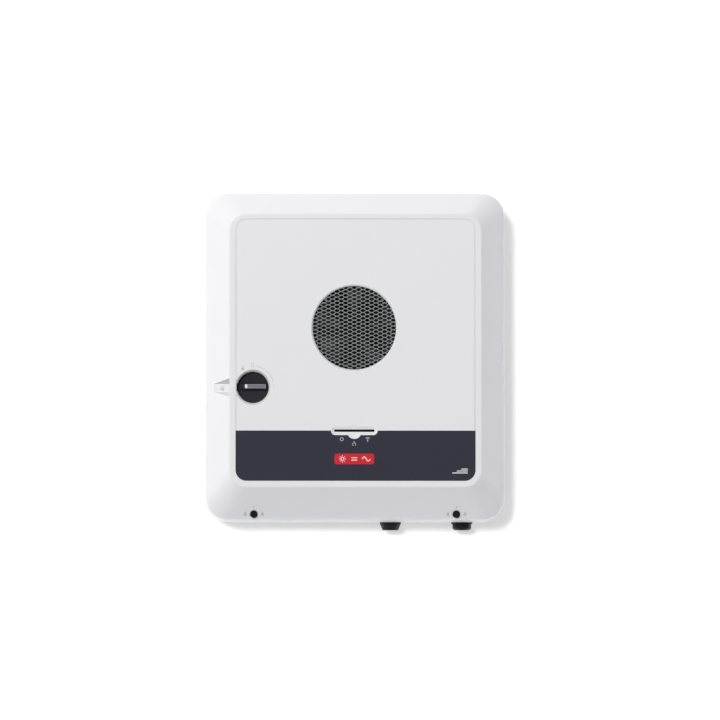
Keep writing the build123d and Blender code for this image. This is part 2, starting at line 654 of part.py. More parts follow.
with BuildPart() as disconnector_knob:
    rods(KNOB_CENTRE, KNOB_RADIUS, KNOB_BACK, KNOB_DISC_FRONT)
    fillet(disconnector_knob.faces().sort_by(Axis.Y)[0].edges(), 0.8)
    # The disc is dished between its rim and the grip.
    with Locations((KNOB_X, -KNOB_DISC_FRONT - KNOB_DISH_SPHERE + KNOB_DISH_CUT, KNOB_Z)):
        Sphere(KNOB_DISH_SPHERE, mode=Mode.SUBTRACT)
    # The grip bar: broad at its foot, narrow on top, with one long sloping end.
    loft(
        sections=[
            rounded(
                HANDLE_FOOT,
                KNOB_X + HANDLE_FOOT_LEFT,
                KNOB_X + HANDLE_FOOT_RIGHT,
                KNOB_Z + HANDLE_RISE - HANDLE_FOOT_WIDTH / 2,
                KNOB_Z + HANDLE_RISE + HANDLE_FOOT_WIDTH / 2,
                2.0,
            ).face(),
            rounded(
                HANDLE_FRONT,
                KNOB_X + HANDLE_TOP_LEFT,
                KNOB_X + HANDLE_TOP_RIGHT,
                KNOB_Z + HANDLE_RISE - HANDLE_WIDTH / 2,
                KNOB_Z + HANDLE_RISE + HANDLE_WIDTH / 2,
                1.0,
            ).face(),
        ],
        ruled=True,
    )
    fillet(disconnector_knob.faces().sort_by(Axis.Y)[0].edges(), 0.6)
    blocks(KNOB_CENTRE, 5.0, 5.0, KNOB_BACK, 145.0, mode=Mode.SUBTRACT)
disconnector_knob.part.label = "disconnector_knob"
export_step(disconnector_knob.part, "parts/disconnector_knob.step")

# ================= connection area =================

DC_WIRES = [-180.0, -168.0, -156.0, -144.0]
AC_WIRES = [FIRST_POLE_X + POLE_PITCH * k for k in range(POLES)]
RELAY_BOTTOM = -80.5

with BuildPart() as area_divider:
    block(-200.0, 200.0, PARTITION_TOP, PARTITION_TOP + 2.0, BASE_FRONT, 150.0)
    block(-200.0, 200.0, PARTITION_TOP, PARTITION_TOP + 9.0, BASE_FRONT, BASE_FRONT + 2.0)
    uprights(
        [(x, WIRE_DEPTH) for x in DC_WIRES + AC_WIRES],
        3.4,
        PARTITION_TOP,
        PARTITION_TOP + 2.0,
        mode=Mode.SUBTRACT,
    )
    block(-12.0, 12.0, PARTITION_TOP, PARTITION_TOP + 2.0, 96.5, 102.5, mode=Mode.SUBTRACT)
area_divider.part.label = "area_divider"
export_step(area_divider.part, "parts/area_divider.step")

DC_POLES = [-180.0 + 12.0 * k for k in range(10)]

with BuildPart() as dc_terminal_block:
    block(-188.0, -64.0, -192.0, -152.0, TRAY_FLOOR, 56.0, radius=2.0)
    # Clamp windows on the front, and wire funnels at the bottom and top.
    blocks([(x, -166.0) for x in DC_POLES], 7.0, 9.0, 50.0, 56.0, mode=Mode.SUBTRACT)
    rods([(x, -182.0) for x in DC_POLES], 2.2, 50.0, 56.0, mode=Mode.SUBTRACT)
    uprights([(x, 42.0) for x in DC_POLES], 3.6, -192.0, -178.0, mode=Mode.SUBTRACT)
dc_terminal_block.part.label = "dc_terminal_block"
export_step(dc_terminal_block.part, "parts/dc_terminal_block.step")

AC_LOW = -192.0
AC_HIGH = -148.0

with BuildPart() as ac_terminal_block:
    first_edge = FIRST_POLE_X - POLE_PITCH / 2
    last_edge = first_edge + POLES * POLE_PITCH
    block(first_edge - 2.0, last_edge + 2.0, AC_LOW, AC_HIGH, TRAY_FLOOR, AC_BLOCK_FRONT)
    ears = [(first_edge + POLE_PITCH * k, -152.5) for k in range(POLES + 1)]
    blocks(ears, 3.6, 9.0, AC_BLOCK_FRONT, 71.0)
    cross_rod(first_edge, last_edge, LEVER_PIN_DEPTH, LEVER_PIN_Z, LEVER_PIN_RADIUS)
    uprights([(x, 42.0) for x in AC_WIRES], 4.2, AC_LOW, AC_LOW + 16.0, mode=Mode.SUBTRACT)
    # Dark channels between the poles.
    channels = [(x + POLE_PITCH / 2, -175.0) for x in AC_WIRES[:-1]]
    blocks(channels, 1.2, 30.0, 60.0, AC_BLOCK_FRONT, mode=Mode.SUBTRACT)
ac_terminal_block.part.label = "ac_terminal_block"
export_step(ac_terminal_block.part, "parts/ac_terminal_block.step")

LEVER_HALF_WIDTH = 7.8
LEVER_END = -190.0

for number in range(1, POLES + 1):
    pole_x = FIRST_POLE_X + POLE_PITCH * (number - 1)
    with BuildPart() as ac_lever:
        cross_rod(
            pole_x - LEVER_HALF_WIDTH,
            pole_x + LEVER_HALF_WIDTH,
            LEVER_PIN_DEPTH,
            LEVER_PIN_Z,
            LEVER_BARREL_RADIUS,
        )
        block(
            pole_x - LEVER_HALF_WIDTH,
            pole_x + LEVER_HALF_WIDTH,
            LEVER_END,
            LEVER_PIN_Z,
            64.2,
            67.4,
        )
        # A raised finger edge at the free end.
        block(pole_x - LEVER_HALF_WIDTH, pole_x + LEVER_HALF_WIDTH, LEVER_END, LEVER_END + 3.0, 66.0, 69.5)
        cross_rod(
            pole_x - LEVER_HALF_WIDTH,
            pole_x + LEVER_HALF_WIDTH,
            LEVER_PIN_DEPTH,
            LEVER_PIN_Z,
            LEVER_BORE_RADIUS,
            mode=Mode.SUBTRACT,
        )
    ac_lever.part.label = "ac_lever_" + str(number)
    export_step(ac_lever.part, "parts/ac_lever_" + str(number) + ".step")

WIRE_RADIUS = 2.3

# Four solar wires to the disconnector and five grid wires to the relays:
# (x, depth where it leaves its terminal, height there, height where it ends).
WIRES = [(x, 38.0, -152.0, KNOB_Z - 25.0) for x in DC_WIRES]
WIRES += [(x, 42.0, AC_HIGH, RELAY_BOTTOM) for x in AC_WIRES]

with BuildPart() as internal_wiring:
    for x, depth, low, high in WIRES:
        with BuildLine() as route:
            FilletPolyline(
                (x, -depth, low),
                (x, -depth, -130.0),
                (x, -WIRE_DEPTH, -118.0),
                (x, -WIRE_DEPTH, high),
                radius=9.0,
            )
        with BuildSketch(Plane(origin=route.line @ 0, z_dir=route.line % 0)):
            Circle(WIRE_RADIUS)
        sweep()
internal_wiring.part.label = "internal_wiring"
export_step(internal_wiring.part, "parts/internal_wiring.step")

BAR_SCREWS = [(-34.0 + 13.0 * k, -222.0) for k in range(5)]

with BuildPart() as earth_bar:
    block(-54.0, 40.0, -228.0, -216.0, 30.0, 34.0, radius=1.0)
    rods(BAR_SCREWS, 2.1, 30.0, 34.0, mode=Mode.SUBTRACT)
earth_bar.part.label = "earth_bar"
export_step(earth_bar.part, "parts/earth_bar.step")

with BuildPart() as earth_screws:
    rods(BAR_SCREWS, 2.0, 27.0, 34.0)
    rods(BAR_SCREWS, 4.0, 34.0, 37.0)
    torx_sockets(BAR_SCREWS, 2.0, 35.2, 37.0)
earth_screws.part.label = "earth_screws"
export_step(earth_screws.part, "parts/earth_screws.step")

with BuildPart() as comm_board:
    block(-58.0, 48.0, -190.0, -108.0, COMM_BOARD_BACK, COMM_BOARD_FRONT, radius=3.0)
    rods(COMM_POSTS, 1.6, COMM_BOARD_BACK, COMM_BOARD_FRONT, mode=Mode.SUBTRACT)
    # The soldered radio module with its metal shield.
    block(8.0, 34.0, -148.0, -128.0, COMM_BOARD_FRONT, COMM_BOARD_FRONT + 1.0)
    block(9.5, 27.0, -147.0, -129.0, COMM_BOARD_FRONT + 1.0, COMM_BOARD_FRONT + 3.6, radius=0.8)
comm_board.part.label = "comm_board"
export_step(comm_board.part, "parts/comm_board.step")

SOCKETS = [(-34.0, -179.0), (-14.0, -179.0)]

with BuildPart() as network_sockets:
    blocks(SOCKETS, 16.0, 21.0, COMM_BOARD_FRONT, COMM_BOARD_FRONT + 13.5)
    for x, z in SOCKETS:
        mouth_back = COMM_BOARD_FRONT + 3.0
        block(x - 5.9, x + 5.9, z - 10.5, z + 4.0, mouth_back, mouth_back + 7.0, mode=Mode.SUBTRACT)
network_sockets.part.label = "network_sockets"
export_step(network_sockets.part, "parts/network_sockets.step")

SIGNAL_POLES = [2.0 + 5.0 * k for k in range(7)]

with BuildPart() as signal_terminals:
    block(-1.0, 35.0, -190.0, -176.0, COMM_BOARD_FRONT, COMM_BOARD_FRONT + 12.0)
    clamp_holes = [(x, -180.0) for x in SIGNAL_POLES]
    rods(clamp_holes, 1.6, COMM_BOARD_FRONT + 9.0, COMM_BOARD_FRONT + 12.0, mode=Mode.SUBTRACT)
    uprights([(x, COMM_BOARD_FRONT + 5.0) for x in SIGNAL_POLES], 1.8, -190.0, -182.0, mode=Mode.SUBTRACT)
signal_terminals.part.label = "signal_terminals"
export_step(signal_terminals.part, "parts/signal_terminals.step")

SWITCH_X = -34.0
SWITCH_Z = -132.0
SLOT_HALF_LENGTH = 5.0
SLIDER_HALF = 1.9

with BuildPart() as shutdown_switch:
    blocks([(SWITCH_X, SWITCH_Z)], 18.0, 10.0, COMM_BOARD_FRONT, COMM_BOARD_FRONT + 6.0)
    block(
        SWITCH_X - SLOT_HALF_LENGTH,
        SWITCH_X + SLOT_HALF_LENGTH,
        SWITCH_Z - 2.0,
        SWITCH_Z + 2.0,
        COMM_BOARD_FRONT + 2.0,
        COMM_BOARD_FRONT + 6.0,
        mode=Mode.SUBTRACT,
    )
shutdown_switch.part.label = "shutdown_switch"
export_step(shutdown_switch.part, "parts/shutdown_switch.step")

with BuildPart() as shutdown_slider:
    block(
        SWITCH_X - SLOT_HALF_LENGTH + 0.1,
        SWITCH_X - SLOT_HALF_LENGTH + 0.1 + 2 * SLIDER_HALF,
        SWITCH_Z - SLIDER_HALF,
        SWITCH_Z + SLIDER_HALF,
        COMM_BOARD_FRONT + 2.1,
        COMM_BOARD_FRONT + 9.0,
    )
shutdown_slider.part.label = "shutdown_slider"
export_step(shutdown_slider.part, "parts/shutdown_slider.step")

with BuildPart() as data_ribbon:
    with BuildSketch(Plane.YZ.offset(-9.0)):
        with BuildLine():
            Polyline(
                (-COMM_BOARD_FRONT, -114.0),
                (-WIRE_DEPTH, -114.0),
                (-WIRE_DEPTH, -88.0),
                (-POWER_BOARD_FRONT, -82.0),
                (-POWER_BOARD_FRONT, -83.2),
                (-WIRE_DEPTH + 1.0, -88.8),
                (-WIRE_DEPTH + 1.0, -113.0),
                (-COMM_BOARD_FRONT, -113.0),
                close=True,
            )
        make_face()
    extrude(amount=18.0)
data_ribbon.part.label = "data_ribbon"
export_step(data_ribbon.part, "parts/data_ribbon.step")

# ================= cable entries =================

BOTH_GLANDS = [(DATA_GLAND_X, GLAND_DEPTH), (AC_GLAND_X, GLAND_DEPTH)]
NUT_BOTTOM = -TRAY_HIGH_INSIDE
THREAD_TOP = -243.0
COLLAR_BOTTOM = -262.0

with BuildPart() as gland_bodies:
    uprights(BOTH_GLANDS, GLAND_THREAD - 0.1, -TRAY_HALF_HEIGHT - 1.0, THREAD_TOP)
    uprights(BOTH_GLANDS, GLAND_FLANGE, COLLAR_BOTTOM, -TRAY_HALF_HEIGHT)
    uprights(BOTH_GLANDS, CABLE_BORE + 2.6, COLLAR_BOTTOM, THREAD_TOP, mode=Mode.SUBTRACT)
gland_bodies.part.label = "gland_bodies"
export_step(gland_bodies.part, "parts/gland_bodies.step")

with BuildPart() as gland_nuts:
    with BuildSketch(Plane.XY.offset(NUT_BOTTOM)):
        with Locations(*[(x, -depth) for x, depth in BOTH_GLANDS]):
            RegularPolygon(18.0, 6)
        with Locations(*[(x, -depth) for x, depth in BOTH_GLANDS]):
            Circle(GLAND_THREAD, mode=Mode.SUBTRACT)
    extrude(amount=5.0)
gland_nuts.part.label = "gland_nuts"
export_step(gland_nuts.part, "parts/gland_nuts.step")

with BuildPart() as data_gland_cap:
    with BuildSketch(Plane.XY.offset(COLLAR_BOTTOM)):
        with Locations((DATA_GLAND_X, -GLAND_DEPTH)):
            Circle(GLAND_FLANGE - 0.4)
    with BuildSketch(Plane.XY.offset(GLAND_BOTTOM)):
        with Locations((DATA_GLAND_X, -GLAND_DEPTH)):
            Circle(12.6)
    loft()
    uprights([(DATA_GLAND_X, GLAND_DEPTH)], CABLE_BORE + 2.6, GLAND_BOTTOM, COLLAR_BOTTOM, mode=Mode.SUBTRACT)

# The cap of the AC entry is a plain nut with a broken edge.
with BuildPart() as ac_gland_cap:
    uprights([(AC_GLAND_X, GLAND_DEPTH)], 14.8, GLAND_BOTTOM, COLLAR_BOTTOM)
    chamfer(ac_gland_cap.faces().sort_by(Axis.Z)[0].edges(), 2.6)
    uprights([(AC_GLAND_X, GLAND_DEPTH)], CABLE_BORE + 2.6, GLAND_BOTTOM, COLLAR_BOTTOM, mode=Mode.SUBTRACT)
    # Wrench flats.
    for side in (-1, 1):
        with BuildSketch(Plane.XY.offset(GLAND_BOTTOM)):
            with Locations((AC_GLAND_X, -GLAND_DEPTH + side * 16.5)):
                Rectangle(30.0, 6.0)
        extrude(amount=COLLAR_BOTTOM - GLAND_BOTTOM, mode=Mode.SUBTRACT)

with BuildPart() as gland_caps:
    add(data_gland_cap.part)
    add(ac_gland_cap.part)
gland_caps.part.label = "gland_caps"
export_step(gland_caps.part, "parts/gland_caps.step")

with BuildPart() as gland_seals:
    upright_rings(BOTH_GLANDS, CABLE_BORE + 2.6, CABLE_BORE, GLAND_BOTTOM + 0.6, -250.0)
gland_seals.part.label = "gland_seals"
export_step(gland_seals.part, "parts/gland_seals.step")

with BuildPart() as dc_grommet:
    with BuildSketch(Plane.XY.offset(-TRAY_HALF_HEIGHT)):
        with Locations((GROMMET_X, -GLAND_DEPTH)):
            RectangleRounded(GROMMET_LENGTH, GROMMET_WIDTH, 6.0)
    extrude(amount=TRAY_WALL)
    with BuildSketch(Plane.XY.offset(-TRAY_HIGH_INSIDE)):
        with Locations((GROMMET_X, -GLAND_DEPTH)):
            RectangleRounded(GROMMET_LENGTH + 8.0, GROMMET_WIDTH + 8.0, 8.0)
    extrude(amount=2.0)
    with BuildSketch(Plane.XY.offset(-TRAY_HALF_HEIGHT - 1.0)):
        with Locations((GROMMET_X, -GLAND_DEPTH)):
            with GridLocations(15.0, 1.0, 6, 1):
                Circle(2.6)
    extrude(amount=8.0, mode=Mode.SUBTRACT)
dc_grommet.part.label = "dc_grommet"
export_step(dc_grommet.part, "parts/dc_grommet.step")

# ================= cover =================

INNER_RIM_HALF_WIDTH = RIM_WIDTH / 2 - COVER_WALL
INNER_RIM_HALF_HEIGHT = RIM_HALF_HEIGHT - COVER_WALL
INNER_BREAK_DEPTH = 116.0
INNER_BREAK_HALF_WIDTH = 231.5
INNER_BREAK_HALF_HEIGHT = 254.0
INNER_FACE_HALF_WIDTH = FACE_HALF_WIDTH - 1.5
INNER_FACE_LOW = FACE_LOW + 1.2
INNER_FACE_HIGH = FACE_HIGH - 1.6
RIB_BACK = 69.0
RIB_FRONT = 72.0
SEAL_OUTER_WIDTH = 464.0
SEAL_OUTER_HEIGHT = 509.0
SEAL_INNER_WIDTH = 460.4
SEAL_INNER_HEIGHT = 505.4
STATUS_POSTS = [(STATUS_X - 34.0, -140.0), (STATUS_X + 34.0, -140.0)]

# The hollow inside the cover, with the space taken by its bosses and ribs left out of it.
with BuildPart() as cover_cavity:
    loft(
        sections=[
            rounded(
                RIM_DEPTH,
                -INNER_RIM_HALF_WIDTH,
                INNER_RIM_HALF_WIDTH,
                -INNER_RIM_HALF_HEIGHT,
                INNER_RIM_HALF_HEIGHT,
                RIM_RADIUS - COVER_WALL,
            ).face(),
            rounded(
                INNER_BREAK_DEPTH,
                -INNER_BREAK_HALF_WIDTH,
                INNER_BREAK_HALF_WIDTH,
                -INNER_BREAK_HALF_HEIGHT,
                INNER_BREAK_HALF_HEIGHT,
                BREAK_RADIUS - COVER_WALL,
            ).face(),
            rounded(
                INNER_FACE_DEPTH,
                -INNER_FACE_HALF_WIDTH,
                INNER_FACE_HALF_WIDTH,
                INNER_FACE_LOW,
                INNER_FACE_HIGH,
                FACE_RADIUS - 2.0,
            ).face(),
        ],
        ruled=True,
    )
    # The rib that presses the seal onto the rear housing.
    with BuildSketch(Plane.XZ.offset(RIB_BACK)) as rib:
        RectangleRounded(RIM_WIDTH, 2 * RIM_HALF_HEIGHT, RIM_RADIUS)
        RectangleRounded(SEAL_INNER_WIDTH, SEAL_INNER_HEIGHT, 31.0, mode=Mode.SUBTRACT)
    extrude(amount=RIB_FRONT - RIB_BACK, mode=Mode.SUBTRACT)
    # Bosses for the two locks, and for the status board.
    rods(COVER_LOCKS, 10.5, LOCK_BOSS_BACK, 135.0, mode=Mode.SUBTRACT)
    rods(STATUS_POSTS, 3.0, STATUS_BOARD_FRONT, FACE_DEPTH, mode=Mode.SUBTRACT)
    # The tube around the knob, and the solid left around the padlock recess.
    rods(KNOB_CENTRE, WELL_RADIUS + WELL_WALL, WELL_BACK, FACE_DEPTH, mode=Mode.SUBTRACT)
    block(
        -240.0,
        KNOB_X,
        KNOB_Z - LOCK_HALF_TOP - 4.0,
        KNOB_Z + LOCK_HALF_TOP + 4.0,
        LOCK_FLOOR - COVER_WALL,
        FACE_DEPTH,
        mode=Mode.SUBTRACT,
    )

# The outside is a stack of sections: the drafted wall, the bevel, and a soft round at each break.
# Each side of the cover leans by its own amount over the same rise.
SIDE_LEAN = (BREAK_WIDTH / 2 - FACE_HALF_WIDTH) / (FACE_DEPTH - BREAK_DEPTH)
TOP_LEAN = (BREAK_HALF_HEIGHT - FACE_HIGH) / (FACE_DEPTH - BREAK_DEPTH)
BOTTOM_LEAN = (BREAK_HALF_HEIGHT + FACE_LOW) / (FACE_DEPTH - BREAK_DEPTH)
CORNER_LEAN = (BREAK_RADIUS - FACE_RADIUS) / (FACE_DEPTH - BREAK_DEPTH)
WALL_LEAN = (RIM_WIDTH - BREAK_WIDTH) / 2 / (BREAK_DEPTH - RIM_DEPTH)
ROUND_STEPS = 5
BREAK_ROUND = 4.5
FACE_ROUND = 1.6


def curve(share, start, corner, end):
    """A point on a quadratic curve that leaves start and meets end, pulled towards corner."""
    return (1 - share) ** 2 * start + 2 * share * (1 - share) * corner + share**2 * end


cover_sections = [
    rounded(
        RIM_DEPTH,
        -RIM_WIDTH / 2,
        RIM_WIDTH / 2,
        -RIM_HALF_HEIGHT,
        RIM_HALF_HEIGHT,
        RIM_RADIUS,
    ).face()
]
for step in range(ROUND_STEPS + 1):
    # Round between the wall and the bevel.
    share = step / ROUND_STEPS
    out = BREAK_ROUND * WALL_LEAN
    side_x = BREAK_WIDTH / 2 + curve(share, out, 0, -BREAK_ROUND * SIDE_LEAN)
    cover_sections.append(
        rounded(
            curve(share, BREAK_DEPTH - BREAK_ROUND, BREAK_DEPTH, BREAK_DEPTH + BREAK_ROUND),
            -side_x,
            side_x,
            -BREAK_HALF_HEIGHT - curve(share, out, 0, -BREAK_ROUND * BOTTOM_LEAN),
            BREAK_HALF_HEIGHT + curve(share, out, 0, -BREAK_ROUND * TOP_LEAN),
            BREAK_RADIUS + curve(share, 0.2, 0, -BREAK_ROUND * CORNER_LEAN),
        ).face()
    )
for step in range(ROUND_STEPS + 1):
    # Round between the bevel and the face.
    share = step / ROUND_STEPS
    side_x = FACE_HALF_WIDTH + curve(share, FACE_ROUND * SIDE_LEAN, 0, -FACE_ROUND)
    cover_sections.append(
        rounded(
            curve(share, FACE_DEPTH - FACE_ROUND, FACE_DEPTH, FACE_DEPTH),
            -side_x,
            side_x,
            FACE_LOW - curve(share, FACE_ROUND * BOTTOM_LEAN, 0, -FACE_ROUND),
            FACE_HIGH + curve(share, FACE_ROUND * TOP_LEAN, 0, -FACE_ROUND),
            FACE_RADIUS + curve(share, FACE_ROUND * CORNER_LEAN, 0, -FACE_ROUND * 0.6),
        ).face()
    )

with BuildPart() as front_cover:
    loft(sections=cover_sections, ruled=True)
    add(cover_cavity.part, mode=Mode.SUBTRACT)
    # The knob well, open at both ends.
    rods(KNOB_CENTRE, WELL_RADIUS, WELL_BACK - 2.0, FACE_DEPTH, mode=Mode.SUBTRACT)
    with Locations((KNOB_X, -FACE_DEPTH + WELL_FLARE_DEPTH / 2, KNOB_Z)):
        Cone(
            WELL_RADIUS,
            WELL_RADIUS + WELL_FLARE,
            WELL_FLARE_DEPTH,
            rotation=(90, 0, 0),
            mode=Mode.SUBTRACT,
        )
    # The padlock recess in the left bevel, and the window from it into the well.
    loft(
        sections=[
            rounded(
                LOCK_FLOOR,
                LOCK_X,
                -FACE_HALF_WIDTH,
                KNOB_Z - LOCK_HALF_FLOOR,
                KNOB_Z + LOCK_HALF_FLOOR,
                0,
            ).face(),
            rounded(
                FACE_DEPTH,
                LOCK_X,
                -FACE_HALF_WIDTH,
                KNOB_Z - LOCK_HALF_TOP,
                KNOB_Z + LOCK_HALF_TOP,
                0,
            ).face(),
        ],
        ruled=True,
        mode=Mode.SUBTRACT,
    )
    block(
        -FACE_HALF_WIDTH - 1.0,
        KNOB_X,
        KNOB_Z - LOCK_HALF_FLOOR,
        KNOB_Z + LOCK_HALF_FLOOR,
        LOCK_FLOOR,
        150.0,
        mode=Mode.SUBTRACT,
    )
    # The keyway along the well that the collar's tab slides through as the cover comes off.
    block(
        KNOB_X - WELL_NOTCH,
        KNOB_X,
        KNOB_Z - LOCK_HALF_FLOOR,
        KNOB_Z + LOCK_HALF_FLOOR,
        WELL_BACK - 2.0,
        FACE_DEPTH,
        mode=Mode.SUBTRACT,
    )
    # Lock pockets: a wide counterbore for the head and a hole for the shank.
    rods(COVER_LOCKS, LOCK_POCKET_RADIUS, LOCK_POCKET_DEPTH, 150.0, mode=Mode.SUBTRACT)
    rods(COVER_LOCKS, LOCK_SHANK_RADIUS + 0.05, LOCK_BOSS_BACK - 1.0, LOCK_POCKET_DEPTH, mode=Mode.SUBTRACT)
    # The fan opening, with a broken edge.
    rods(FAN_CENTRE, GRILLE_RADIUS, INNER_FACE_DEPTH - 1.0, FACE_DEPTH, mode=Mode.SUBTRACT)
    chamfer(
        front_cover.edges()
        .filter_by(GeomType.CIRCLE)
        .filter_by(lambda edge: abs(edge.radius - GRILLE_RADIUS) < 0.01)
        .sort_by(Axis.Y)[0],
        GRILLE_CHAMFER,
    )
    # The shadow groove around the front panel, and the recess for the label.
    with BuildSketch(Plane.XZ.offset(FACE_DEPTH - GROOVE_DEPTH)) as groove:
        with Locations((0, (PANEL_LOW + PANEL_HIGH) / 2)):
            RectangleRounded(2 * PANEL_HALF_WIDTH, PANEL_HIGH - PANEL_LOW, PANEL_RADIUS)
            RectangleRounded(
                2 * (PANEL_HALF_WIDTH - GROOVE_WIDTH),
                PANEL_HIGH - PANEL_LOW - 2 * GROOVE_WIDTH,
                PANEL_RADIUS - GROOVE_WIDTH,
                mode=Mode.SUBTRACT,
            )
    extrude(amount=GROOVE_DEPTH, mode=Mode.SUBTRACT)
    with BuildSketch(Plane.XZ.offset(FACE_DEPTH - LABEL_THICKNESS)) as recess:
        with Locations((0, (PANEL_LOW + PANEL_HIGH) / 2)):
            RectangleRounded(2 * PANEL_HALF_WIDTH, PANEL_HIGH - PANEL_LOW, PANEL_RADIUS)
        with Locations((0, LABEL_TOP - 100.0)):
            Rectangle(RIM_WIDTH, 200.0, mode=Mode.INTERSECT)
        with Locations((STATUS_X, STATUS_HEIGHT)):
            SlotOverall(PILL_LENGTH, PILL_WIDTH, mode=Mode.SUBTRACT)
        with Locations((STATUS_X, DISH_HEIGHT)):
            Circle(DISH_RADIUS, mode=Mode.SUBTRACT)
    extrude(amount=LABEL_THICKNESS, mode=Mode.SUBTRACT)
    # A shallow trough that leads to the light bar, the finger dish over the touch sensor,
    # and the slot for the light bar.
    with BuildSketch(Plane.XZ.offset(FACE_DEPTH)) as trough_mouth:
        with Locations((STATUS_X, STATUS_HEIGHT)):
            SlotOverall(PILL_LENGTH - 1.6, PILL_WIDTH - 1.6)
    with BuildSketch(Plane.XZ.offset(FACE_DEPTH - TROUGH_DEPTH)) as trough_floor:
        with Locations((STATUS_X, STATUS_HEIGHT)):
            SlotOverall(LIGHT_LENGTH + 0.8, LIGHT_WIDTH + 0.8)
    loft(sections=[trough_mouth.sketch.face(), trough_floor.sketch.face()], ruled=True, mode=Mode.SUBTRACT)
    with Locations((STATUS_X, -FACE_DEPTH - DISH_SPHERE + DISH_CUT, DISH_HEIGHT)):
        Sphere(DISH_SPHERE, mode=Mode.SUBTRACT)
    with BuildSketch(Plane.XZ.offset(INNER_FACE_DEPTH)) as slot:
        with Locations((STATUS_X, STATUS_HEIGHT)):
            SlotOverall(LIGHT_LENGTH, LIGHT_WIDTH)
    extrude(amount=COVER_WALL, mode=Mode.SUBTRACT)
front_cover.part.label = "front_cover"
export_step(front_cover.part, "parts/front_cover.step")

with BuildPart() as front_label:
    with BuildSketch(Plane.XZ.offset(FACE_DEPTH - LABEL_THICKNESS)):
        with Locations((0, (PANEL_LOW + PANEL_HIGH) / 2)):
            RectangleRounded(2 * PANEL_HALF_WIDTH - 0.2, PANEL_HIGH - PANEL_LOW - 0.2, PANEL_RADIUS - 0.1)
        with Locations((0, LABEL_TOP - 100.1)):
            Rectangle(RIM_WIDTH, 200.0, mode=Mode.INTERSECT)
        with Locations((STATUS_X, STATUS_HEIGHT)):
            SlotOverall(PILL_LENGTH + 0.2, PILL_WIDTH + 0.2, mode=Mode.SUBTRACT)
        with Locations((STATUS_X, DISH_HEIGHT)):
            Circle(DISH_RADIUS + 0.1, mode=Mode.SUBTRACT)
    extrude(amount=LABEL_THICKNESS)
front_label.part.label = "front_label"
export_step(front_label.part, "parts/front_label.step")

with BuildPart() as light_guide:
    with BuildSketch(Plane.XZ.offset(156.0)):
        with Locations((STATUS_X, STATUS_HEIGHT)):
            SlotOverall(LIGHT_LENGTH - 0.2, LIGHT_WIDTH - 0.2)
    extrude(amount=FACE_DEPTH - LIGHT_SINK - 156.0)
    with BuildSketch(Plane.XZ.offset(158.0)):
        with Locations((STATUS_X, STATUS_HEIGHT)):
            SlotOverall(LIGHT_LENGTH + 5.0, LIGHT_WIDTH + 5.0)
    extrude(amount=INNER_FACE_DEPTH - 158.0)
light_guide.part.label = "light_guide"
export_step(light_guide.part, "parts/light_guide.step")

with BuildPart() as status_board:
    blocks([(STATUS_X, -128.0)], 80.0, 40.0, STATUS_BOARD_BACK, STATUS_BOARD_FRONT, radius=3.0)
    # Five light-emitting diodes behind the light bar.
    lamp_points = [(STATUS_X - 24.0 + 12.0 * k, STATUS_HEIGHT) for k in range(5)]
    blocks(lamp_points, 5.0, 3.0, STATUS_BOARD_FRONT, 155.2)
status_board.part.label = "status_board"
export_step(status_board.part, "parts/status_board.step")

# Expanded metal: staggered rows of lens-shaped openings.
MESH_PITCH_X = 13.6
MESH_PITCH_Z = 3.0
MESH_OPENING_X = 9.6
MESH_OPENING_Z = 3.6
MESH_LIMIT = MESH_RADIUS - 7.0

mesh_points = []
for row in range(-22, 23):
    shift = 0.0 if row % 2 == 0 else MESH_PITCH_X / 2
    for column in range(-6, 7):
        x = column * MESH_PITCH_X + shift
        z = row * MESH_PITCH_Z
        if (abs(x) + MESH_OPENING_X / 2) ** 2 + (abs(z) + MESH_OPENING_Z / 2) ** 2 < MESH_LIMIT**2:
            mesh_points.append((FAN_X + x, FAN_Z + z))

with BuildPart() as fan_grille:
    with BuildSketch(Plane.XZ.offset(MESH_BACK)):
        with Locations((FAN_X, FAN_Z)):
            Circle(MESH_RADIUS)
        with BuildSketch(mode=Mode.PRIVATE) as diamond:
            with BuildLine():
                Polyline(
                    (-MESH_OPENING_X / 2, 0),
                    (-1.2, MESH_OPENING_Z / 2),
                    (1.2, MESH_OPENING_Z / 2),
                    (MESH_OPENING_X / 2, 0),
                    (1.2, -MESH_OPENING_Z / 2),
                    (-1.2, -MESH_OPENING_Z / 2),
                    close=True,
                )
            make_face()
        with Locations(*mesh_points):
            add(diamond.sketch, mode=Mode.SUBTRACT)
    extrude(amount=INNER_FACE_DEPTH - MESH_BACK)
fan_grille.part.label = "fan_grille"
export_step(fan_grille.part, "parts/fan_grille.step")

with BuildPart() as grille_ring:
    rings(FAN_CENTRE, MESH_RADIUS, GRILLE_RADIUS + 0.4, MESH_BACK - 1.6, MESH_BACK)
grille_ring.part.label = "grille_ring"
export_step(grille_ring.part, "parts/grille_ring.step")

with BuildPart() as cover_seal:
    with BuildSketch(Plane.XZ.offset(TRAY_LIP + 0.3)):
        RectangleRounded(SEAL_OUTER_WIDTH, SEAL_OUTER_HEIGHT, 33.0)
        RectangleRounded(SEAL_INNER_WIDTH, SEAL_INNER_HEIGHT, 31.0, mode=Mode.SUBTRACT)
    extrude(amount=RIB_BACK - TRAY_LIP - 0.3)
cover_seal.part.label = "cover_seal"
export_step(cover_seal.part, "parts/cover_seal.step")

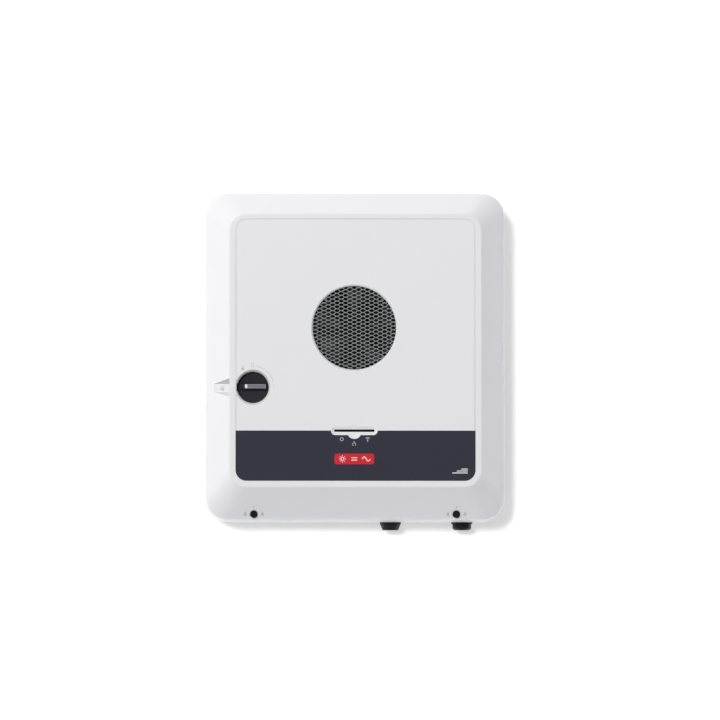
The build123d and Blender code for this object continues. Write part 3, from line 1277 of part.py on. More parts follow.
for side, lock_name in ((-1, "lock_left"), (1, "lock_right")):
    here = [(side * COVER_LOCK_X, COVER_LOCK_Z)]
    with BuildPart() as cover_lock:
        rods(here, LOCK_HEAD_RADIUS, LOCK_POCKET_DEPTH + 0.1, 127.0)
        torx_sockets(here, 3.2, 123.5, 127.0)
        rods(here, LOCK_SHANK_RADIUS, 84.0, LOCK_POCKET_DEPTH + 0.1)
        # The clip that keeps the screw in the cover.
        rods(here, 4.4, LOCK_BOSS_BACK - 2.3, LOCK_BOSS_BACK - 0.3)
    cover_lock.part.label = lock_name
    export_step(cover_lock.part, "parts/" + lock_name + ".step")

# Threaded posts that the locks turn into, standing on the bottom wall of the rear housing.
RECEIVER_RADIUS = 3.6
RECEIVER_BACK = 60.8
RECEIVER_FRONT = 90.0

with BuildPart() as lock_receivers:
    rods(COVER_LOCKS, RECEIVER_RADIUS, RECEIVER_BACK, RECEIVER_FRONT)
    for x, z in COVER_LOCKS:
        block(x - RECEIVER_RADIUS, x + RECEIVER_RADIUS, -TRAY_HIGH_INSIDE, z, RECEIVER_BACK, TRAY_LIP)
    rods(COVER_LOCKS, LOCK_SHANK_RADIUS + 0.1, 80.0, RECEIVER_FRONT, mode=Mode.SUBTRACT)
lock_receivers.part.label = "lock_receivers"
export_step(lock_receivers.part, "parts/lock_receivers.step")
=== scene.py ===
import math

import bmesh
import bpy
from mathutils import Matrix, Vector


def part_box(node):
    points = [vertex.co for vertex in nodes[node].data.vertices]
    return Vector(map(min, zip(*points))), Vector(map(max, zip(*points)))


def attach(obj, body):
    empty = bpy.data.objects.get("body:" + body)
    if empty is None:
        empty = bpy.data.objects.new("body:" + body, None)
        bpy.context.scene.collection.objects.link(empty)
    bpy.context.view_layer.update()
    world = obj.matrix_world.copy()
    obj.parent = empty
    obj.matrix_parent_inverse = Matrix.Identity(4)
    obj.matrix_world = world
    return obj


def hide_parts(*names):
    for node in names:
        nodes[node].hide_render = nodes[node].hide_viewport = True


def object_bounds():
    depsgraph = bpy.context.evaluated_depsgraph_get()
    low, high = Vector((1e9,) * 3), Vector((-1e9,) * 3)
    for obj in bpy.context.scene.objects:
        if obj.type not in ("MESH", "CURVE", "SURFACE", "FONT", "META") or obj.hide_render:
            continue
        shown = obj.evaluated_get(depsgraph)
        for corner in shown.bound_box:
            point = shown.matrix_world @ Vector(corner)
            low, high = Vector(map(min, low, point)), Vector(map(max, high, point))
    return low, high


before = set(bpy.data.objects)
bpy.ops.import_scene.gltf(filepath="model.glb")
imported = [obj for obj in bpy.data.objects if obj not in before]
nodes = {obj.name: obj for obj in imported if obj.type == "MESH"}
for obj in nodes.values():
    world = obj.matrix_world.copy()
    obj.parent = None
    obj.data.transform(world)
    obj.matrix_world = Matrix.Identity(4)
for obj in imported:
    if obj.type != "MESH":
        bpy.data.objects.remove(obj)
cad_low, cad_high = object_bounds()

MM = 0.001


def centre(name):
    """The middle of a CAD node's box at rest."""
    low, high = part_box(name)
    return [(a + b) / 2 for a, b in zip(low, high)]


# Places on the object, in metres, that the drawn-on details share with the CAD.
FACE_Y = cad_low[1]
FAN_X, _, FAN_Z = centre("grille_ring")
KNOB_X, _, KNOB_Z = centre("disconnector_shaft")
LOCK_X, _, LOCK_Z = centre("lock_right")
STATUS_X = centre("light_guide")[0]


# ---------------------------------------------------------------- materials


class Nodes:
    """A material being built: its node tree, its shader and its object coordinates."""

    def __init__(self, name):
        self.material = bpy.data.materials.new(name)
        self.material.use_nodes = True
        self.tree = self.material.node_tree
        self.shader = self.tree.nodes["Principled BSDF"]
        self.coords = self.add("ShaderNodeTexCoord").outputs["Object"]

    def add(self, kind, **values):
        node = self.tree.nodes.new(kind)
        for key, value in values.items():
            setattr(node, key, value)
        return node

    def link(self, a, b):
        self.tree.links.new(a, b)

    def uniform(self, **values):
        """Sets even values on the shader's own sockets; underscores stand for spaces."""
        for key, value in values.items():
            self.shader.inputs[key.replace("_", " ")].default_value = value

    def noise(self, scale, detail=4.0, roughness=0.55, stretch=None):
        """Noise with this many features a metre, drawn out along an axis if stretch says so."""
        node = self.add("ShaderNodeTexNoise")
        node.inputs["Scale"].default_value = scale
        node.inputs["Detail"].default_value = detail
        node.inputs["Roughness"].default_value = roughness
        source = self.coords
        if stretch:
            mapping = self.add("ShaderNodeMapping")
            mapping.inputs["Scale"].default_value = stretch
            self.link(self.coords, mapping.inputs["Vector"])
            source = mapping.outputs["Vector"]
        self.link(source, node.inputs["Vector"])
        return node.outputs["Fac"]

    def spread(self, value, low, high, start=0.3, end=0.7):
        """Maps start..end of a value to low..high, held at both ends."""
        node = self.add("ShaderNodeMapRange")
        node.inputs["From Min"].default_value = start
        node.inputs["From Max"].default_value = end
        node.inputs["To Min"].default_value = low
        node.inputs["To Max"].default_value = high
        self.link(value, node.inputs["Value"])
        return node.outputs["Result"]

    def mix(self, factor, a, b):
        """Colour a where the factor is 0 and b where it is 1; any of them may be an output."""
        node = self.add("ShaderNodeMix", data_type="RGBA")
        for socket, value in ((node.inputs[6], a), (node.inputs[7], b)):
            if isinstance(value, (tuple, list)):
                socket.default_value = (*value[:3], 1.0)
            else:
                self.link(value, socket)
        if isinstance(factor, float):
            node.inputs[0].default_value = factor
        else:
            self.link(factor, node.inputs[0])
        return node.outputs[2]

    def bump(self, height, strength, distance):
        node = self.add("ShaderNodeBump")
        node.inputs["Strength"].default_value = strength
        node.inputs["Distance"].default_value = distance
        self.link(height, node.inputs["Height"])
        return node.outputs["Normal"]

    def maths(self, operation, a, b=None):
        """One arithmetic step on an output, with a number or another output."""
        node = self.add("ShaderNodeMath", operation=operation)
        self.link(a, node.inputs[0])
        if isinstance(b, (int, float)):
            node.inputs[1].default_value = b
        elif b is not None:
            self.link(b, node.inputs[1])
        return node.outputs[0]

    def front_plane(self, vector):
        """A vector's x, its z, and both as one flat vector without the depth."""
        apart = self.add("ShaderNodeSeparateXYZ")
        self.link(vector, apart.inputs[0])
        across, up = apart.outputs[0], apart.outputs[2]
        flat = self.add("ShaderNodeCombineXYZ")
        self.link(across, flat.inputs[0])
        self.link(up, flat.inputs[1])
        return across, up, flat.outputs[0]

    def finish(self, colour, roughness, normal):
        """Joins the finished outputs to the shader."""
        self.link(colour, self.shader.inputs["Base Color"])
        self.link(roughness, self.shader.inputs["Roughness"])
        self.link(normal, self.shader.inputs["Normal"])
        return self.material


def shade(colour, factor):
    return tuple(min(1.0, c * factor) for c in colour[:3])


COAT_ROUGHNESS = 0.12
SPECKLE_SHARE = 0.35
SPECKLE_DEEPER = 1.5
GRAIN_STRENGTH = 0.5


def surface(
    name,
    colour,
    rough=(0.35, 0.5),
    metal=0.0,
    vary=0.04,
    broad=14.0,
    grain=1200.0,
    grain_depth=0.03,
    stretch=None,
    coat=0.0,
    specular=0.5,
):
    """A finish with broad colour drift, fine grain in colour and bump, and uneven roughness.

    broad and grain are features a metre; grain_depth is in millimetres.
    """
    n = Nodes(name)
    n.uniform(Metallic=metal, Coat_Weight=coat, Coat_Roughness=COAT_ROUGHNESS)
    n.uniform(Specular_IOR_Level=specular)
    drift = n.noise(broad, 3.0)
    fine = n.noise(grain, 5.0, 0.6, stretch)
    light = shade(colour, 1 + vary)
    patches = n.mix(n.spread(drift, 0.0, 1.0), shade(colour, 1 - vary), light)
    speckle = n.mix(n.spread(fine, 0.0, 1.0), shade(colour, 1 - vary * SPECKLE_DEEPER), light)
    return n.finish(
        n.mix(SPECKLE_SHARE, patches, speckle),
        n.spread(fine, rough[0], rough[1]),
        n.bump(fine, GRAIN_STRENGTH, grain_depth * MM),
    )


def print_finish(name, colour, rough, vary):
    """A thin, even layer of ink or of a marked surface."""
    return surface(name, colour, rough, vary=vary, grain=1500.0, grain_depth=0.01)


PAD_SCALE, PAD_JITTER = 120.0, 0.35
PAD_EDGE_IN, PAD_EDGE_OUT = 0.16, 0.2
TRACK_SCALE, TRACK_GAP = 55.0, 0.06
TINNED = (0.55, 0.53, 0.48)


def circuit_board(name, colour):
    """Solder mask with darker copper tracks showing through, and tinned pads on a grid."""
    n = Nodes(name)
    n.uniform(Coat_Weight=0.3)
    _, _, flat = n.front_plane(n.coords)
    cells = n.add(
        "ShaderNodeTexVoronoi", feature="F1", distance="MANHATTAN", voronoi_dimensions="2D"
    )
    cells.inputs["Scale"].default_value = PAD_SCALE
    cells.inputs["Randomness"].default_value = PAD_JITTER
    n.link(flat, cells.inputs["Vector"])
    bricks = n.add("ShaderNodeTexBrick")
    bricks.inputs["Scale"].default_value = TRACK_SCALE
    bricks.inputs["Mortar Size"].default_value = TRACK_GAP
    for socket, grey in (("Color1", 0.0), ("Color2", 0.3), ("Mortar", 1.0)):
        bricks.inputs[socket].default_value = (grey, grey, grey, 1.0)
    n.link(flat, bricks.inputs["Vector"])
    tracks = n.mix(bricks.outputs["Color"], shade(colour, 0.75), shade(colour, 1.6))
    pads = n.spread(cells.outputs["Distance"], 1.0, 0.0, PAD_EDGE_IN, PAD_EDGE_OUT)
    return n.finish(
        n.mix(pads, tracks, TINNED),
        n.spread(n.noise(300.0), 0.25, 0.45),
        n.bump(bricks.outputs["Fac"], 0.4, 0.05 * MM),
    )


WINDING_REACH = 34.5 * MM
# The darker wire colour is painted shade for the grooves between turns; the lighter one is the
# copper.
WIRE_GROOVE_SHADE, WIRE_LIGHT = (0.16, 0.05, 0.015), (0.62, 0.27, 0.10)


def copper_winding(name, cores, turns):
    """Enamelled wire wound around ring cores: ridges run around each ring's cross-section.

    cores holds the (x, z) middle of each ring.
    """
    n = Nodes(name)
    n.uniform(Metallic=0.85, Coat_Weight=0.5)
    ridge = None
    for x, z in cores:
        shift = n.add("ShaderNodeVectorMath", operation="SUBTRACT")
        shift.inputs[1].default_value = (x, 0.0, z)
        n.link(n.coords, shift.inputs[0])
        across, up, flat = n.front_plane(shift.outputs[0])
        wave = n.maths("SINE", n.maths("MULTIPLY", n.maths("ARCTAN2", up, across), turns))
        length = n.add("ShaderNodeVectorMath", operation="LENGTH")
        n.link(flat, length.inputs[0])
        near = n.maths("LESS_THAN", length.outputs["Value"], WINDING_REACH)
        here = n.maths("MULTIPLY", wave, near)
        ridge = here if ridge is None else n.maths("ADD", ridge, here)
    # Colour follows the ridges: painted shade in the grooves between turns, copper on the ridges.
    return n.finish(
        n.mix(n.spread(ridge, 0.0, 1.0, -1.0, 1.0), WIRE_GROOVE_SHADE, WIRE_LIGHT),
        n.spread(n.noise(250.0), 0.2, 0.4),
        n.bump(ridge, 0.9, 0.7 * MM),
    )


WHITE = (0.74, 0.74, 0.755)
NEAR_BLACK = (0.012, 0.012, 0.013)

white_paint = surface(
    "cover_white", WHITE, (0.34, 0.46), vary=0.006, grain=1500.0, grain_depth=0.012, coat=0.15
)
dark_paint = surface(
    "housing_grey", (0.085, 0.088, 0.095), (0.4, 0.6), vary=0.12, grain=1800.0, grain_depth=0.05
)
label_film = surface(
    "label_film",
    (0.034, 0.034, 0.05),
    (0.3, 0.4),
    vary=0.03,
    grain=2500.0,
    grain_depth=0.006,
    specular=0.3,
)
zinc = surface(
    "galvanised_sheet",
    (0.56, 0.58, 0.6),
    (0.25, 0.5),
    metal=0.9,
    vary=0.14,
    broad=90.0,
    grain=700.0,
)
aluminium = surface(
    "extruded_aluminium",
    (0.68, 0.69, 0.71),
    (0.28, 0.48),
    metal=0.95,
    vary=0.06,
    grain=900.0,
    stretch=(0.03, 1, 1),
)
steel = surface("screw_steel", (0.55, 0.55, 0.56), (0.22, 0.42), metal=1.0, vary=0.08, grain=2200.0)
black_steel = surface(
    "black_steel", NEAR_BLACK, (0.35, 0.5), vary=0.15, grain=2200.0, specular=0.35
)
brass = surface("brass", (0.68, 0.5, 0.22), (0.22, 0.4), metal=1.0, vary=0.08, grain=1400.0)
black_plastic = surface(
    "black_plastic",
    NEAR_BLACK,
    (0.38, 0.56),
    vary=0.2,
    grain=1600.0,
    grain_depth=0.04,
    specular=0.3,
)
# The fan's plastics are partly their own black and partly painted shade: darker than the black
# plastic, for the fan deep behind the grille.
fan_frame_plastic_and_shade = surface(
    "fan_frame_plastic_and_shade", (0.01, 0.011, 0.012), (0.4, 0.55), vary=0.12, specular=0.2
)
fan_blade_plastic_and_shade = surface(
    "fan_blade_plastic_and_shade", (0.006, 0.007, 0.007), (0.28, 0.4), vary=0.1, specular=0.3
)
knob_plastic = surface(
    "knob_plastic",
    (0.022, 0.022, 0.028),
    (0.3, 0.42),
    vary=0.15,
    grain=1800.0,
    grain_depth=0.04,
    specular=0.4,
)
grip_plastic = surface(
    "grip_plastic", (0.17, 0.17, 0.2), (0.2, 0.3), vary=0.05, grain=1800.0, coat=0.4
)
# Painted highlight: a paler grey for the rim of the grip's inlay, where its chamfered edges catch
# the light.
painted_grip_edge_highlight = surface("painted_grip_edge_highlight", (0.3, 0.3, 0.34), (0.2, 0.3), vary=0.05, grain=1800.0, coat=0.4)
# Painted highlight: near white, for the glint where the grip turns down its slope.
painted_grip_glint = surface(
    "painted_grip_glint", (0.72, 0.72, 0.76), (0.2, 0.3), vary=0.03, grain=1800.0, coat=0.4
)
smoked = surface(
    "smoked_plastic", (0.008, 0.008, 0.009), (0.2, 0.3), vary=0.1, grain=1500.0, specular=0.2
)
grey_plastic = surface("grey_plastic", (0.36, 0.37, 0.38), (0.4, 0.55), vary=0.05, grain=1400.0)
orange_plastic = surface(
    "orange_plastic", (0.8, 0.27, 0.04), (0.28, 0.42), vary=0.05, grain=1400.0
)
relay_plastic = surface("relay_plastic", (0.03, 0.03, 0.035), (0.25, 0.4), vary=0.12, grain=1300.0)
sleeve = surface(
    "capacitor_sleeve", (0.03, 0.04, 0.09), (0.2, 0.32), vary=0.1, grain=900.0, coat=0.4
)
film_box = surface("film_box", (0.12, 0.2, 0.42), (0.42, 0.6), vary=0.06, grain=1300.0)
rubber = surface(
    "seal_rubber", (0.02, 0.02, 0.02), (0.6, 0.8), vary=0.2, grain=1500.0, grain_depth=0.06
)
mesh_paint = surface(
    "mesh_paint", (0.28, 0.292, 0.288), (0.35, 0.5), vary=0.1, grain=1500.0, specular=0.4
)
sheath = surface("wire_sheath", (0.03, 0.03, 0.03), (0.4, 0.55), vary=0.15, grain=900.0)
ribbon = surface(
    "ribbon_grey", (0.5, 0.5, 0.52), (0.45, 0.6), vary=0.08, grain=700.0, stretch=(1, 0.02, 0.02)
)
board = circuit_board("circuit_board", (0.02, 0.15, 0.075))
copper_boost = copper_winding("copper_boost", [(-0.15, 0.04), (-0.15, 0.114)], 34)
copper_filter = copper_winding("copper_filter", [(0.15, z) for z in (-0.002, 0.062, 0.126)], 30)
mark_grey = print_finish("mark_grey", (0.5, 0.5, 0.52), (0.4, 0.5), 0.03)
# Painted shade: a grey a little darker than the cover, laid on the floor of the panel groove.
groove_shade_grey = print_finish("groove_shade_grey", (0.66, 0.66, 0.675), (0.5, 0.6), 0.02)
pale_ink = print_finish("pale_ink", (0.5, 0.51, 0.55), (0.3, 0.42), 0.03)
white_ink = print_finish("white_ink", (0.85, 0.85, 0.86), (0.3, 0.42), 0.02)
red_ink = print_finish("red_ink", (0.56, 0.024, 0.036), (0.24, 0.36), 0.05)

FINISH = {
    "wall_bracket": zinc,
    "rear_housing": dark_paint,
    "rear_hanger": zinc,
    "hanger_screws": steel,
    "rear_bumpers": rubber,
    "heat_sink": aluminium,
    "heat_sink_seal": rubber,
    "fan_duct": fan_frame_plastic_and_shade,
    "duct_seal": rubber,
    "fan_frame": fan_frame_plastic_and_shade,
    "fan_stator": copper_boost,
    "fan_rotor": fan_blade_plastic_and_shade,
    "fan_screws": steel,
    "power_board": board,
    "board_posts": brass,
    "board_screws": steel,
    "power_modules": grey_plastic,
    "dc_link_capacitors": sleeve,
    "boost_chokes": copper_boost,
    "ac_filter_chokes": copper_filter,
    "grid_relays": relay_plastic,
    "film_capacitors": film_box,
    "control_board": board,
    "control_chips": relay_plastic,
    "dc_disconnector": grey_plastic,
    "disconnector_shaft": steel,
    "disconnector_knob": knob_plastic,
    "knob_base": black_plastic,
    "area_divider": black_plastic,
    "dc_terminal_block": grey_plastic,
    "ac_terminal_block": grey_plastic,
    "earth_bar": brass,
    "earth_screws": steel,
    "comm_board": board,
    "network_sockets": steel,
    "signal_terminals": grey_plastic,
    "shutdown_switch": relay_plastic,
    "shutdown_slider": orange_plastic,
    "data_ribbon": ribbon,
    "internal_wiring": sheath,
    "gland_bodies": black_plastic,
    "gland_caps": black_plastic,
    "gland_nuts": black_plastic,
    "gland_seals": rubber,
    "dc_grommet": rubber,
    "lock_receivers": brass,
    "front_cover": white_paint,
    "front_label": label_film,
    "fan_grille": mesh_paint,
    "grille_ring": black_plastic,
    "cover_seal": rubber,
    "light_guide": smoked,
    "status_board": board,
    "lock_left": black_steel,
    "lock_right": black_steel,
}
for name, node in nodes.items():
    finish = FINISH.get(name, orange_plastic)
    node.data.materials.clear()
    node.data.materials.append(finish)


# ---------------------------------------------------------------- mesh helpers


def put(made):
    """Puts a new object into the scene."""
    bpy.context.scene.collection.objects.link(made)
    return made


def piece(name, mesh_builder, body, finish):
    """Makes one object from a bmesh, gives it its finish and lets it ride on its body."""
    data = bpy.data.meshes.new(name)
    bm = bmesh.new()
    mesh_builder(bm)
    bmesh.ops.recalc_face_normals(bm, faces=bm.faces)
    bm.to_mesh(data)
    bm.free()
    made = put(bpy.data.objects.new(name, data))
    data.materials.append(finish)
    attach(made, body)
    return made


def as_drawn(x, y, z):
    return (x, y, z)


def close_loops(bm, one, two):
    """Walls between two matching loops of corners."""
    count = len(one)
    for k in range(count):
        after = (k + 1) % count
        bm.faces.new((one[k], one[after], two[after], two[k]))


def prism(bm, outline, back, front, place=as_drawn):
    """A solid from a closed outline of (x, z) points, between two y values."""
    rear = [bm.verts.new(place(x, back, z)) for x, z in outline]
    fore = [bm.verts.new(place(x, front, z)) for x, z in outline]
    bm.faces.new(fore)
    bm.faces.new(list(reversed(rear)))
    close_loops(bm, rear, fore)


def band(bm, points, width, back, front, closed=False, place=as_drawn):
    """A solid line of even width that follows (x, z) points, between two y values."""
    spots = list(points)
    if closed:
        spots.append(spots[0])
    last = len(spots) - 1
    rows = []
    for k, (x, z) in enumerate(spots):
        before = spots[k - 1] if k > 0 else spots[-2] if closed else spots[0]
        after = spots[k + 1] if k < last else spots[1] if closed else spots[-1]
        along = (Vector(after) - Vector(before)).normalized()
        across = Vector((-along.y, along.x)) * width / 2
        corners = ((1, back), (-1, back), (-1, front), (1, front))
        places = [place(x + side * across.x, y, z + side * across.y) for side, y in corners]
        rows.append([bm.verts.new(corner) for corner in places])
    for one, two in zip(rows, rows[1:]):
        close_loops(bm, one, two)
    if closed:
        bmesh.ops.remove_doubles(bm, verts=rows[0] + rows[-1], dist=1e-7)
    else:
        bm.faces.new(list(reversed(rows[0])))
        bm.faces.new(rows[-1])


def at_angle(cx, cz, radius, degrees, squeeze=1.0):
    """The point at an angle from the right, anticlockwise seen from the front."""
    turn = math.radians(degrees)
    return (cx + radius * math.cos(turn), cz + radius * squeeze * math.sin(turn))


def arc(cx, cz, radius, start, end, steps, squeeze=1.0):
    """Points on an arc between two angles in degrees."""
    return [
        at_angle(cx, cz, radius, start + (end - start) * k / steps, squeeze)
        for k in range(steps + 1)
    ]


def loop(cx, cz, radius, steps, squeeze=1.0):
    """A closed outline around a whole circle, or an upright oval if squeeze is above 1."""
    return arc(cx, cz, radius, 0, 360, steps, squeeze)[:-1]


def rounded_box(cx, cz, width, height, radius, steps=5):
    """A closed outline with round corners."""
    across, up = width / 2 - radius, height / 2 - radius
    points = []
    for sx, sz, start in ((1, 1, 0), (-1, 1, 90), (-1, -1, 180), (1, -1, 270)):
        points += arc(cx + sx * across, cz + sz * up, radius, start, start + 90, steps)
    return points


# ---------------------------------------------------------------- fan grille

# A stretched metal sheet: bonds lie along x, strands slant between the rows of bonds.
MESH_Y = -161.0 * MM
MESH_RADIUS = 69.8 * MM
PITCH_X = 13.6 * MM
PITCH_Z = 3.0 * MM
ROWS_EACH_WAY = 24
BONDS_EACH_WAY = 6
STRAND_WIDTH = 0.9 * MM
STRAND_THICK = 0.7 * MM
STRAND_TILT = math.radians(32)
BOND_WIDTH = 1.35 * MM
BOND_HALF = 1.8 * MM
BOND_OVERLAP = 0.25 * MM
CUT_STEP = 0.1
RIM_RADIUS, RIM_WIDTH = 68.2 * MM, 3.0 * MM
RIM_BACK, RIM_FRONT = -160.6 * MM, -161.6 * MM


def strand(bm, a, b, width):
    """One tilted strip of the stretched sheet, from a to b."""
    along = (b - a).normalized()
    flat = Vector((-along.z, 0, along.x))
    if flat.z < 0:
        flat = -flat
    lean = flat * math.cos(STRAND_TILT) + Vector((0, 1, 0)) * math.sin(STRAND_TILT)
    deep = along.cross(lean).normalized()
    across, through = lean * (width / 2), deep * (STRAND_THICK / 2)
    corners = ((-1, -1), (1, -1), (1, 1), (-1, 1))
    first, second = (
        [bm.verts.new(end + across * u + through * v) for u, v in corners] for end in (a, b)
    )
    close_loops(bm, first, second)
    bm.faces.new(list(reversed(first)))
    bm.faces.new(second)


def strip(bm, start, end, width):
    """A strand between two (x, z) places from the sheet's middle, cut off at its round edge."""
    if math.hypot(*start) >= MESH_RADIUS:
        return

    def part_way(share):
        return [start[k] + (end[k] - start[k]) * share for k in (0, 1)]

    share = 1.0
    while share > CUT_STEP and math.hypot(*part_way(share)) > MESH_RADIUS:
        share -= CUT_STEP
    middle = Vector((FAN_X, MESH_Y, FAN_Z))
    a, b = (middle + Vector((x, 0, z)) for x, z in (start, part_way(share)))
    strand(bm, a, b, width)


def build_grille(bm):
    """Long flat bonds in staggered rows, joined by short slanting strands."""
    for row in range(-ROWS_EACH_WAY, ROWS_EACH_WAY + 1):
        for column in range(-BONDS_EACH_WAY, BONDS_EACH_WAY + 1):
            x = column * PITCH_X + (row % 2) * PITCH_X / 2
            z = row * PITCH_Z
            for side in (-1, 1):
                strip(bm, (x, z), (x + side * BOND_HALF, z), BOND_WIDTH)
                start = (x + side * (BOND_HALF - BOND_OVERLAP), z)
                end = (x + side * (PITCH_X / 2 - BOND_HALF + BOND_OVERLAP), z + PITCH_Z)
                strip(bm, start, end, STRAND_WIDTH)
    # The flat rim around the sheet.
    band(bm, loop(FAN_X, FAN_Z, RIM_RADIUS, 96), RIM_WIDTH, RIM_BACK, RIM_FRONT, closed=True)


grille = piece("expanded_grille", build_grille, "cover", mesh_paint)
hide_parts("fan_grille")


# ---------------------------------------------------------------- marks on the white cover


def padlock(bm, cx, cz, size, back, front, place=as_drawn):
    """A padlock mark, its height given by size: a body and its shackle."""
    body = rounded_box(cx, cz - size * 0.18, size * 0.72, size * 0.56, size * 0.08)
    prism(bm, body, back, front, place)
    foot, bend, reach = cz + size * 0.1, cz + size * 0.22, size * 0.22
    shackle = [(cx - reach, foot), *arc(cx, bend, reach, 180, 0, 10), (cx + reach, foot)]
    band(bm, shackle, size * 0.11, back, front, place=place)


DIAL_X = KNOB_X - 0.9 * MM
DIAL_RADIUS = 33.5 * MM
DIAL_LINE = 0.9 * MM
DIAL_BACK, DIAL_FRONT = FACE_Y + 0.2 * MM, FACE_Y - 0.03 * MM
DIAL_ARC = (14, 52)
DIAL_TICKS = range(58, 79, 5)
TICK_HALF, TICK_WIDTH = 1.2 * MM, 1.0 * MM
DIAL_LOCK_ANGLE, DIAL_LOCK_SIZE = 117, 6.5 * MM


def build_dial(bm):
    """The disconnector's scale: 0 at the top, 1 at the right, a padlock at eleven o'clock."""
    depth = (DIAL_BACK, DIAL_FRONT)
    # An arc up from the 1, and ticks from there to the 0.
    band(bm, arc(DIAL_X, KNOB_Z, DIAL_RADIUS, *DIAL_ARC, 12), DIAL_LINE, *depth)
    for angle in DIAL_TICKS:
        ends = [
            at_angle(DIAL_X, KNOB_Z, DIAL_RADIUS + reach, angle)
            for reach in (-TICK_HALF, TICK_HALF)
        ]
        band(bm, ends, TICK_WIDTH, *depth)
    zero = loop(DIAL_X, KNOB_Z + DIAL_RADIUS + 1.0 * MM, 1.9 * MM, 24, squeeze=1.6)
    band(bm, zero, DIAL_LINE, *depth, closed=True)
    one = rounded_box(DIAL_X + DIAL_RADIUS, KNOB_Z, 0.8 * MM, 5.2 * MM, 0.2 * MM)
    prism(bm, one, *depth)
    lock_place = at_angle(DIAL_X, KNOB_Z, DIAL_RADIUS, DIAL_LOCK_ANGLE)
    padlock(bm, *lock_place, DIAL_LOCK_SIZE, *depth)


piece("dial_marks", build_dial, "cover", mark_grey)


# The groove around the front panel, with a thin grey strip laid on its floor as painted shade.
PANEL_SIDE = 187.2 * MM
PANEL_LOW, PANEL_HIGH = -196.7 * MM, 213.2 * MM
PANEL_CORNER = 16.2 * MM
GROOVE_SHADE_WIDTH = 1.2 * MM
GROOVE_SHADE_BACK, GROOVE_SHADE_FRONT = FACE_Y + 1.85 * MM, FACE_Y + 1.1 * MM


def build_groove_shade(bm):
    middle, height = (PANEL_LOW + PANEL_HIGH) / 2, PANEL_HIGH - PANEL_LOW
    outline = rounded_box(0, middle, 2 * PANEL_SIDE, height, PANEL_CORNER, 10)
    band(bm, outline, GROOVE_SHADE_WIDTH, GROOVE_SHADE_BACK, GROOVE_SHADE_FRONT, closed=True)


piece("panel_groove_shade", build_groove_shade, "cover", groove_shade_grey)


# The lower bevel runs from this depth and height up to the face.
BEVEL_OUT_DEPTH = 117.0 * MM
BEVEL_OUT_Z, BEVEL_IN_Z = 257.0 * MM, 207.2 * MM
BEVEL_SLOPE = (-FACE_Y - BEVEL_OUT_DEPTH) / (BEVEL_OUT_Z - BEVEL_IN_Z)
# A step off the slope, shared out between y and z.
BEVEL_OFF_Y, BEVEL_OFF_Z = 0.72, 0.69


def on_bottom_bevel(x, y, z):
    """Lays a mark on the sloping lower bevel: y is height above the slope."""
    slope_y = -(BEVEL_OUT_DEPTH + (z + BEVEL_OUT_Z) * BEVEL_SLOPE)
    return (x, slope_y + y * BEVEL_OFF_Y, z + y * BEVEL_OFF_Z)


LOCK_MARK_APART = 13.5 * MM
LOCK_MARK_SIZE = 6.0 * MM
LOCK_MARK_BACK, LOCK_MARK_FRONT = 0.2 * MM, -0.35 * MM


def build_lock_marks(bm):
    """A padlock at either side of each cover lock, and an index line above it."""
    depth = (LOCK_MARK_BACK, LOCK_MARK_FRONT, on_bottom_bevel)
    for lock_x in (-LOCK_X, LOCK_X):
        for apart in (-LOCK_MARK_APART, LOCK_MARK_APART):
            padlock(bm, lock_x + apart, LOCK_Z + 1.0 * MM, LOCK_MARK_SIZE, *depth)
        index = rounded_box(lock_x, LOCK_Z + 11.5 * MM, 1.2 * MM, 2.6 * MM, 0.3 * MM)
        prism(bm, index, *depth)


piece("lock_marks", build_lock_marks, "cover", mark_grey)


RECESS_FLOOR_Y = -133.4 * MM
RECESS_MARK_X, RECESS_MARK_Z = -208.5 * MM, KNOB_Z - 0.3 * MM


def build_recess_mark(bm):
    """The padlock on the floor of the side recess, where a real padlock goes through."""
    back, front = RECESS_FLOOR_Y + 0.1 * MM, RECESS_FLOOR_Y - 0.4 * MM
    padlock(bm, RECESS_MARK_X, RECESS_MARK_Z, 8.0 * MM, back, front)


piece("recess_mark", build_recess_mark, "cover", mark_grey)


# ---------------------------------------------------------------- pale inlay on the knob's grip, with painted highlights on its rim and left end

GRIP_Y = -162.0 * MM
GRIP_LEFT, GRIP_RIGHT = KNOB_X - 12.7 * MM, KNOB_X + 20.1 * MM
GRIP_Z = KNOB_Z + 1.6 * MM
GRIP_HEIGHT, GRIP_ROUND = 6.4 * MM, 1.2 * MM
GRIP_RIM = 0.7 * MM
GRIP_CORNER, GRIP_CORNER_HEIGHT = 3.8 * MM, 6.2 * MM


def grip_outline(margin):
    middle, width = (GRIP_LEFT + GRIP_RIGHT) / 2, GRIP_RIGHT - GRIP_LEFT
    trim = 2 * margin
    return rounded_box(middle, GRIP_Z, width - trim, GRIP_HEIGHT - trim, GRIP_ROUND - margin)


def build_grip_inlay(bm):
    prism(bm, grip_outline(0.0), GRIP_Y + 0.1 * MM, GRIP_Y - 0.12 * MM)


# A pale band around the inlay's edge: a painted highlight for the chamfer.
def build_grip_rim_highlight(bm):
    line = grip_outline(GRIP_RIM / 2)[:-1]
    band(bm, line, GRIP_RIM, GRIP_Y, GRIP_Y - 0.3 * MM, closed=True)


def build_grip_painted_glint(bm):
    """A painted highlight: a near-white patch at the inlay's left end, where the grip turns down
    its slope.
    """
    middle = GRIP_LEFT + GRIP_CORNER / 2
    outline = rounded_box(middle, GRIP_Z, GRIP_CORNER, GRIP_CORNER_HEIGHT, GRIP_ROUND)
    prism(bm, outline, GRIP_Y, GRIP_Y - 0.35 * MM)


piece("knob_grip_inlay", build_grip_inlay, "dc_knob", grip_plastic)
piece("knob_grip_rim_highlight", build_grip_rim_highlight, "dc_knob", painted_grip_edge_highlight)
piece("knob_grip_painted_glint", build_grip_painted_glint, "dc_knob", painted_grip_glint)


